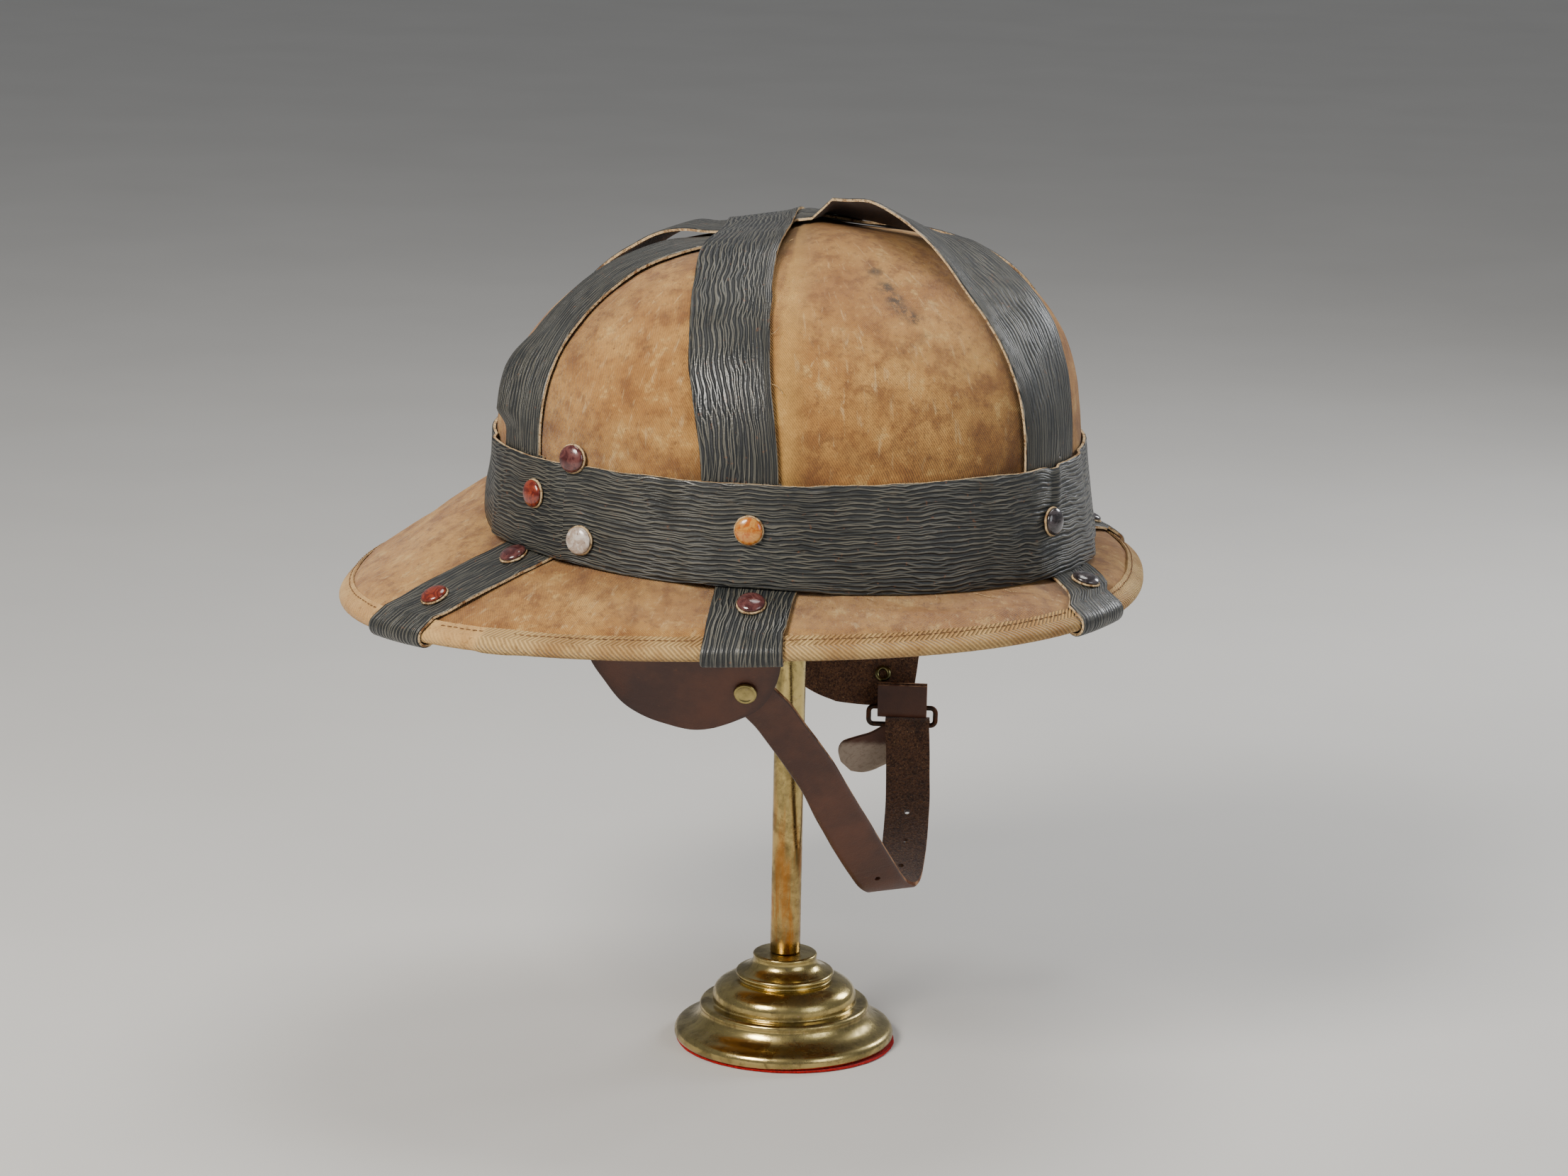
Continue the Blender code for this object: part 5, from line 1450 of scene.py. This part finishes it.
def build_brim_strap(number, strap, seed):
    at_band, at_rim = math.radians(strap["at_band"]), math.radians(strap["at_rim"])
    over_binding = GAP + TAPE + STRAP_LIFT
    outs = [0.03 + 0.94 * k / 22.0 for k in range(23)]
    columns = []
    for index in range(len(strap_laterals(0.0, seed))):
        column = []

        def lateral(place):
            """How far across the strap this column is."""
            return strap_laterals(place, seed)[index]

        for step, rise in enumerate((BRIM_STRAP_TUCK, BRIM_STRAP_TUCK / 2.0, BAND_LIFT / 2.0)):
            azimuth = at_band + math.asin(lateral(step * 0.004) / foot_radius(at_band))
            height = foot_level(azimuth) + rise
            normal = wall_normal(azimuth, height)
            column.append((wall_point(azimuth, height) + normal * STRAP_LIFT, normal))
        for out_share in outs:
            out = strip_share(at_rim) * out_share
            middle = at_band + (at_rim - at_band) * out
            place = 0.012 + out * 0.05
            across = lateral(place)
            azimuth = middle + math.asin(across / brim_point(middle, out).xy.length)
            curl = 0.0007 * abs(2.0 * across / STRAP_WIDTH) ** 3 * (0.5 + 0.5 * wander(seed + 5, place, 0.02))
            point, normal = brim_point(azimuth, out), brim_normal(azimuth, out)
            curl *= hill(out_share, 0.15, 0.4, 0.8, 1.0)
            curl += dimple(point + normal * (STRAP_LIFT + LEATHER), 0.0004, 0.004)
            column.append((point + normal * (STRAP_LIFT + curl), normal))
        azimuth = at_rim + math.asin(lateral(0.065) / brim_edge_radius(at_rim))
        section = around_rim(azimuth, BINDING_LEG, over_binding, 3, 10)
        keep = 13 + 1 + round(3 * BRIM_STRAP_RETURN / BINDING_LEG)
        columns.append(column + section[:keep])
    rows = [list(row) for row in zip(*columns)]
    rows = [row[::-1] for row in rows[::-1]]
    piece = slab(f"visual_brim_strap_{number}", rows, edge_thickness(rows, LEATHER), [GRAINED, RAW_EDGE, BACKING])
    return finish_piece(piece, "grained_leather", f"brim_strap_{number}")


def build_studs():
    profile = []
    for step in range(9):
        turn = math.pi / 2.0 * step / 8
        profile.append((STUD_RADIUS * math.sin(turn), STUD_HEIGHT * (0.16 + 0.84 * math.cos(turn))))
    profile += [(STUD_RADIUS * 0.97, STUD_HEIGHT * 0.04), (STUD_RADIUS * 0.90, 0.0), (0.0, 0.0)]
    for name, point, normal, look in STUD_SPOTS:
        stud = turned("visual_" + name, profile, 32, [STUD_LOOKS[look]], upright_on(point, normal))
        finish_piece(stud, "stud_enamel", name)


def build_collars():
    """The pale torn rims of the holes that the studs sit in."""
    shape = bmesh.new()
    steps = 36
    for index, (_, point, normal, _) in enumerate(STUD_SPOTS):
        place = upright_on(point, normal)
        rings = []
        for share, height in ((0.92, -0.00040), (0.97, -0.00005), (1.04, -0.00010), (1.10, -0.00070)):
            ring = []
            for k in range(steps):
                turn = 2.0 * math.pi * k / steps
                ragged = 1.0 + 0.035 * noise.noise(Vector((k * 0.7, index * 5.0, share * 4.0)))
                radius = STUD_RADIUS * share * ragged
                spot = Vector((radius * math.cos(turn), radius * math.sin(turn), height))
                ring.append(shape.verts.new(place @ spot))
            rings.append(ring)
        join_rings(shape, rings + rings[:1])
    bmesh.ops.recalc_face_normals(shape, faces=shape.faces)
    add_detail("stud_collars", shape, RAW_EDGE)


# Flaps, chin strap and small metal

def build_flap(side):
    flap, table, name = (FLAP_LEFT, FLAP_LEFT_ROWS, "left") if side > 0 else (FLAP_RIGHT, FLAP_RIGHT_ROWS, "right")
    rows = []
    steps = 44
    backs = curved([Vector((row[0], row[1], row[2])) for row in table], 12)
    for k in range(steps + 1):
        down = 1.0 - (1.0 - k / steps) ** 1.6
        row_table = row_values(backs, down)
        height = FLAP_TOP - (FLAP_TOP - flap["bottom"]) * down
        row = []
        for c in range(25):
            share = row_table[1] + (row_table[2] - row_table[1]) * c / 24.0
            x = across_flap(flap, share)
            normal = flap_normal(side, x, height)
            wave = 0.0004 * noise.noise(Vector((x * 40.0, height * 40.0, side)))
            point = flap_face(side, x, height) + normal * (wave - 0.0001)
            point.z -= 0.0011 * math.sin(math.pi * c / 24.0) * smooth(down, 0.85, 1.0)
            row.append((point, normal))
        rows.append(row)
    if side > 0:
        rows = [row[::-1] for row in rows]

    def wear(r, c):
        return 0.5 * max(1.0 - smooth(min(c, 24 - c), 0.0, 1.6), smooth(r, steps - 2.0, steps))

    piece = slab(f"visual_ear_flap_{name}", rows, -FLAP_LEATHER, [SMOOTH_LEATHER, CUT_EDGE, SUEDE],
                 values={"wear": wear, "bare": lambda r, c: 0.0})
    return finish_piece(piece, "brown_leather", f"ear_flap_{name}")


def chin_stations():
    fold_radius = BUCKLE_WIRE + GAP + STRAP_LEATHER / 2.0
    fold_x = BUCKLE_X + CHIN_FOLD_SHIFT
    drop = FLAP_TOP - FLAP_RIGHT["bottom"]
    snap = flap_face(-1, across_flap(FLAP_RIGHT, SNAP_ACROSS), FLAP_TOP - drop * SNAP_DOWN)
    snap = snap + Vector((0.0, FLAP_LEATHER + GAP + STRAP_LEATHER / 2.0, 0.0))
    buckle = Vector((fold_x, BUCKLE_Y - fold_radius, LOWER_BAR_HEIGHT))
    stations = []
    for run, top in ((CHIN_NEAR, snap.z), (CHIN_FAR, buckle.z)):
        for forward, along, rise, across, width in run:
            x = snap.x + (buckle.x - snap.x) * forward
            y = snap.y + (buckle.y - snap.y) * along
            height = CHIN_LOW + (top - CHIN_LOW) * rise
            stations.append((Vector((x, y, height)), Vector(across).normalized(), width))
    for step in range(9):
        turn = math.pi * step / 8
        rise = fold_radius * math.sin(turn)
        place = Vector((fold_x, BUCKLE_Y - fold_radius * math.cos(turn), LOWER_BAR_HEIGHT + rise))
        stations.append((place, Vector((1.0, 0.0, 0.0)), 1.0))
    for back, down, across, width in CHIN_TAIL:
        place = Vector((fold_x - TAIL_REACH * back, BUCKLE_Y + fold_radius, LOWER_BAR_HEIGHT - TAIL_DROP * down))
        stations.append((place, Vector(across).normalized(), width))
    return stations


def punch_holes(piece, middles, rows):
    """The buckle holes, placed by their distance along the strap from its lowest point."""
    lengths = [0.0]
    for before, after in zip(middles, middles[1:]):
        lengths.append(lengths[-1] + (after - before).length)
    lowest = min(range(len(middles)), key=lambda k: middles[k].z)
    mesh = bpy.data.meshes.new("punch")
    shape = bmesh.new()
    for hole in HOLES_FROM_LOWEST:
        place = lengths[lowest] + hole
        k = min(range(len(middles)), key=lambda index: abs(lengths[index] - place))
        stand = upright_on(middles[k], rows[k][5][1])
        bmesh.ops.create_cone(shape, cap_ends=True, segments=16, radius1=HOLE_RADIUS, radius2=HOLE_RADIUS,
                              depth=0.008, matrix=stand)
    shape.to_mesh(mesh)
    shape.free()
    punch = add_object("punch", mesh, [])
    cut = piece.modifiers.new("holes", "BOOLEAN")
    cut.object = punch
    cut.solver = "EXACT"
    graph = bpy.context.evaluated_depsgraph_get()
    made = bpy.data.meshes.new_from_object(piece.evaluated_get(graph))
    piece.modifiers.clear()
    piece.data = made
    bpy.data.objects.remove(punch, do_unlink=True)


def build_chin_strap():
    stations = chin_stations()
    middles = curved([station[0] for station in stations], 6)
    acrosses = curved([station[1] for station in stations], 6)
    widths = [float(v.x) for v in curved([Vector((station[2], 0.0, 0.0)) for station in stations], 6)]
    rows = []
    place = 0.0
    for k, (middle, across, width) in enumerate(zip(middles, acrosses, widths)):
        if k:
            place += (middle - middles[k - 1]).length
        before, after = middles[max(0, k - 1)], middles[min(len(middles) - 1, k + 1)]
        along = (after - before).normalized()
        across = across.normalized()
        normal = along.cross(across).normalized()
        half = CHIN_WIDTH * min(1.0, width) / 2.0
        left = -half + 0.0002 * wander(31, place, 0.012)
        right = half + 0.0002 * wander(32, place, 0.012)
        row = []
        inner = [left + (right - left) * c / 8.0 for c in range(1, 8)]
        for lateral in [left, left + 0.0006] + inner + [right - 0.0006, right]:
            point = middle + across * lateral
            if point.y < 0.0 and point.z > FLAP_RIGHT["bottom"] - CHIN_LEAVES_FLAP:
                inner = flap_face(-1, point.x, point.z).y + FLAP_LEATHER * FLAP_SLANT
                point.y = max(point.y, inner + GAP + STRAP_LEATHER / 2.0 * CHIN_SLANT)
            row.append((point - normal * STRAP_LEATHER / 2.0, normal))
        rows.append(row)

    last = len(rows[0]) - 1

    def wear(r, c):
        return 0.55 if c in (0, last) else 0.0

    def bare(r, c):
        point = rows[r][c][0]
        tail = r > len(rows) - 36 and point.y > BUCKLE_Y
        return smooth(LOWER_BAR_HEIGHT - point.z, 0.0085, 0.0105) if tail else 0.0

    piece = slab("visual_chin_strap", rows, edge_thickness(rows, STRAP_LEATHER), [SMOOTH_LEATHER, CUT_EDGE, SUEDE],
                 values={"wear": wear, "bare": bare})
    punch_holes(piece, middles, rows)
    return finish_piece(piece, "brown_leather", "chin_strap")


def build_keeper():
    radius = BUCKLE_WIRE + GAP
    top = UPPER_BAR_HEIGHT + KEEPER_RISE
    section = [((radius, top), (1.0, 0.0)), ((radius, UPPER_BAR_HEIGHT + KEEPER_RISE / 2.0), (1.0, 0.0))]
    for step in range(13):
        turn = math.pi * step / 12
        fold = UPPER_BAR_HEIGHT - KEEPER_SAG - radius * math.sin(turn)
        section.append(((radius * math.cos(turn), fold), (math.cos(turn), -math.sin(turn))))
    section += [((-radius, UPPER_BAR_HEIGHT + KEEPER_RISE / 2.0), (-1.0, 0.0)), ((-radius, top), (-1.0, 0.0))]
    rows = []
    for (across, height), (out_y, out_z) in section:
        row = []
        for c in range(11):
            x = BUCKLE_X + KEEPER_WIDTH * (0.5 - c / 10.0)
            row.append((Vector((x, BUCKLE_Y + across, height)), Vector((0.0, out_y, out_z))))
        rows.append(row)
    piece = slab("visual_keeper", rows, KEEPER_LEATHER, [SMOOTH_LEATHER, CUT_EDGE, SUEDE],
                 values={"wear": lambda r, c: 0.3, "bare": lambda r, c: 0.0})
    return finish_piece(piece, "brown_leather", "keeper_loop")


def wire_loop(name, points, radius, sides, surfaces):
    """A closed loop of round wire along points in a plane of constant Y."""
    shape = bmesh.new()
    rings = []
    for k, point in enumerate(points):
        along = (points[(k + 1) % len(points)] - points[k - 1]).normalized()
        side = along.cross(Vector((0.0, 1.0, 0.0))).normalized()
        rings.append(round_ring(shape, point, side, side.cross(along), radius, sides))
    join_rings(shape, rings + rings[:1])
    bmesh.ops.recalc_face_normals(shape, faces=shape.faces)
    return shape_object(name, shape, surfaces)


def build_buckle():
    corner = 0.0022
    left, right = BUCKLE_X - BUCKLE_HALF_WIDTH, BUCKLE_X + BUCKLE_HALF_WIDTH
    upper, lower = UPPER_BAR_HEIGHT - corner, LOWER_BAR_HEIGHT + corner
    left, right = left + corner, right - corner
    points = []
    for x, z, start in ((right, upper, 0.0), (left, upper, 90.0), (left, lower, 180.0), (right, lower, 270.0)):
        for step in range(7):
            turn = math.radians(start + 15.0 * step)
            points.append(Vector((x + corner * math.cos(turn), BUCKLE_Y, z + corner * math.sin(turn))))
    piece = wire_loop("visual_buckle", points, BUCKLE_WIRE, 14, [DARK_METAL])
    return finish_piece(piece, "dark_metal", "buckle")


def small_ring(name, node, side, x, height, profile, outward, lift, surface):
    face, normal = flap_face(side, x, height), flap_normal(side, x, height)
    if not outward:
        normal = -normal
    piece = turned(name, profile, 40, [surface], upright_on(face + normal * lift, normal))
    return finish_piece(piece, "brass", node)


def build_small_metal():
    drop = FLAP_TOP - FLAP_RIGHT["bottom"]
    x, height = across_flap(FLAP_RIGHT, SNAP_ACROSS), FLAP_TOP - drop * SNAP_DOWN
    r = SNAP_RADIUS
    profile = ((0.0, 0.00055), (r * 0.4, 0.00058), (r * 0.62, 0.00066), (r * 0.72, 0.00100), (r * 0.80, 0.00122),
               (r * 0.90, 0.00118), (r * 0.97, 0.00085), (r, 0.00040), (r * 0.96, 0.0), (0.0, 0.0))
    small_ring("visual_snap", "snap_disc", -1, x, height, profile, True, GAP + DISC_EASE, SNAP_BRASS)
    x, height = across_flap(FLAP_LEFT, EYELET_ACROSS), UPPER_BAR_HEIGHT + KEEPER_RISE + EYELET_OVER_KEEPER
    hole, rim = EYELET_HOLE, EYELET_RADIUS
    profile = [(hole, 0.0)]
    for step in range(9):
        turn = math.pi * step / 8
        profile.append(((hole + rim) / 2.0 - (rim - hole) / 2.0 * math.cos(turn), 0.0001 + 0.0009 * math.sin(turn)))
    profile += [(rim, 0.0), (hole, 0.0)]
    lift = FLAP_LEATHER + GAP + DISC_EASE
    small_ring("visual_eyelet", "flap_eyelet", 1, x, height, profile, False, lift, EYELET_BRASS)


def build_threads():
    """Loose threads at the band's foot and beside the side strap, each with its length and its lean."""
    shape = bmesh.new()
    # Azimuth in degrees, length in metres, lean as a share of the length
    at_band_foot = (
        (-72.0, 0.0062, 0.3), (-58.0, 0.0048, -0.6), (-50.0, 0.0070, 0.8), (-43.0, 0.0052, 0.5),
        (60.0, 0.0050, 0.4),
    )
    starts = []
    for azimuth, length, lean in at_band_foot:
        angle = math.radians(azimuth)
        out = wall_normal(angle, BAND_TOP_LEVEL)
        start = brim_point(angle, 0.10) + brim_normal(angle, 0.10) * 0.0006
        starts.append((start, out, Vector((-math.sin(angle), math.cos(angle), 0.0)) * lean, length))
    side = CROWN_STRAPS["crown_strap_side"]
    for share, length, lean in ((0.82, 0.0035, 0.5), (0.93, 0.0060, -0.8), (0.30, 0.0030, 0.4)):
        _, _, middle, half, _ = strap_middle(side)
        across = Vector((half.y, -half.x)).normalized()
        spot = middle + half * share + across * (TOP_SIDE * side["bow"] * smooth(share, 0.0, BOW_GROWS))
        spot -= across * (STRAP_WIDTH / 2.0 + 0.0002)
        angle = math.atan2(spot.y, spot.x)
        out = dome_normal(angle, spot.length / top_radius(angle))
        start = dome_point(angle, spot.length / top_radius(angle)) + out * 0.0012
        starts.append((start, out * 0.25 + Vector((1.0, 0.0, 0.0)), Vector((0.0, 0.0, 1.0)) * lean, length))
    for index, (start, out, lean, length) in enumerate(starts):
        points = []
        for step in range(9):
            t = step / 8.0
            curl = Vector((0.0, 0.0, 1.0)) * math.sin(3.0 * t + index) * 0.15
            points.append(start + (out * t + lean * t * t + curl * t) * length)
        for before, after in zip(points, points[1:]):
            capsule(shape, before, after, THREAD_RADIUS, out.normalized(), 5)
    add_detail("loose_threads", shape, PALE_THREAD)


# Stand

def build_stand():
    shares = (
        (0.255, 1.000), (0.278, 0.996), (0.292, 0.978), (0.288, 0.945), (0.291, 0.915), (0.306, 0.875),
        (0.338, 0.835), (0.390, 0.802), (0.430, 0.788), (0.444, 0.772), (0.445, 0.750), (0.432, 0.733),
        (0.424, 0.716), (0.432, 0.700), (0.468, 0.694), (0.520, 0.676), (0.575, 0.642), (0.620, 0.598),
        (0.645, 0.545), (0.653, 0.490), (0.652, 0.440), (0.662, 0.424), (0.705, 0.421), (0.742, 0.417),
        (0.762, 0.402), (0.771, 0.378), (0.768, 0.345), (0.773, 0.318), (0.795, 0.270), (0.832, 0.222),
        (0.880, 0.188), (0.930, 0.165), (0.968, 0.142), (0.990, 0.110), (0.999, 0.070), (0.995, 0.032),
        (0.980, 0.004),
    )
    line = curved([Vector((radius, height, 0.0)) for radius, height in shares], 4)
    profile = [(0.0, BASE_FOOT + BASE_HEIGHT)] + [(p.x * BASE_RADIUS, BASE_FOOT + p.y * BASE_HEIGHT) for p in line]
    profile += [(BASE_RADIUS * 0.975, BASE_FOOT), (0.0, BASE_FOOT)]
    finish_piece(turned("visual_stand_base", profile, 120, [BRASS]), "brass", "stand_base")

    inner_top = CROWN_TOP - SHELL_WALL
    shares = (
        (0.0, 0.06), (0.30, 0.10), (0.57, 0.21), (0.78, 0.32), (0.90, 0.43), (0.97, 0.56), (1.0, 0.70),
        (0.99, 0.88), (0.96, 0.99),
    )
    head = [Vector((radius * HEAD_RADIUS, inner_top - HEAD_DEPTH * down, 0.0)) for radius, down in shares]
    under = inner_top - HEAD_DEPTH
    profile = [(p.x, p.y) for p in curved(head, 3)] + [(HEAD_RADIUS * 0.94, under), (0.0, under)]
    profile[0] = (0.0, profile[0][1])
    finish_piece(turned("visual_stand_head", profile, 96, [BRASS]), "brass", "stand_head")

    foot, top = BASE_FOOT + BASE_HEIGHT + GAP, inner_top - HEAD_DEPTH - GAP
    profile = [(0.0, top), (POLE_RADIUS * 0.96, top), (POLE_RADIUS, top - 0.0003)]
    profile += [(POLE_RADIUS, foot + (top - foot) * (1.0 - k / 24.0)) for k in range(1, 24)]
    profile += [(POLE_RADIUS, foot + 0.0003), (POLE_RADIUS * 0.96, foot), (0.0, foot)]
    finish_piece(turned("visual_stand_pole", profile, 64, [POLE_BRASS]), "brass", "stand_pole")

    shape = bmesh.new()
    rings = []
    for radius, height in ((0.90, 0.98), (1.0, 0.92), (1.012, 0.5), (1.0, 0.06), (0.97, 0.0)):
        ring = []
        for k in range(FELT_STEPS):
            azimuth = 2.0 * math.pi * k / FELT_STEPS
            poke = 0.0019 * max(0.0, math.cos(azimuth + 0.45)) ** 2
            poke += 0.00025 * noise.noise(Vector((k * 0.3, radius * 9.0, 2.0)))
            ring.append(shape.verts.new(in_plan(azimuth, FELT_VISIBLE * radius + poke, FELT_THICKNESS * height)))
        rings.append(ring)
    join_rings(shape, rings)
    shape.faces.new(rings[0])
    shape.faces.new(rings[-1][::-1])
    bmesh.ops.recalc_face_normals(shape, faces=shape.faces)
    finish_piece(shape_object("visual_stand_felt", shape, [FELT], False), "red_felt", "stand_felt")


build_stage()
build_crown()
build_brim()
build_binding()
build_stitches()
build_band()
for seed, (strap_name, strap_row) in enumerate(CROWN_STRAPS.items()):
    build_crown_strap(strap_name, strap_row, 40 + seed * 10)
for strap_number, strap_row in enumerate(BRIM_STRAPS, 1):
    build_brim_strap(strap_number, strap_row, 80 + strap_number * 10)
build_studs()
build_collars()
build_flap(-1)
build_flap(1)
build_chin_strap()
build_keeper()
build_buckle()
build_small_metal()
build_threads()
build_stand()
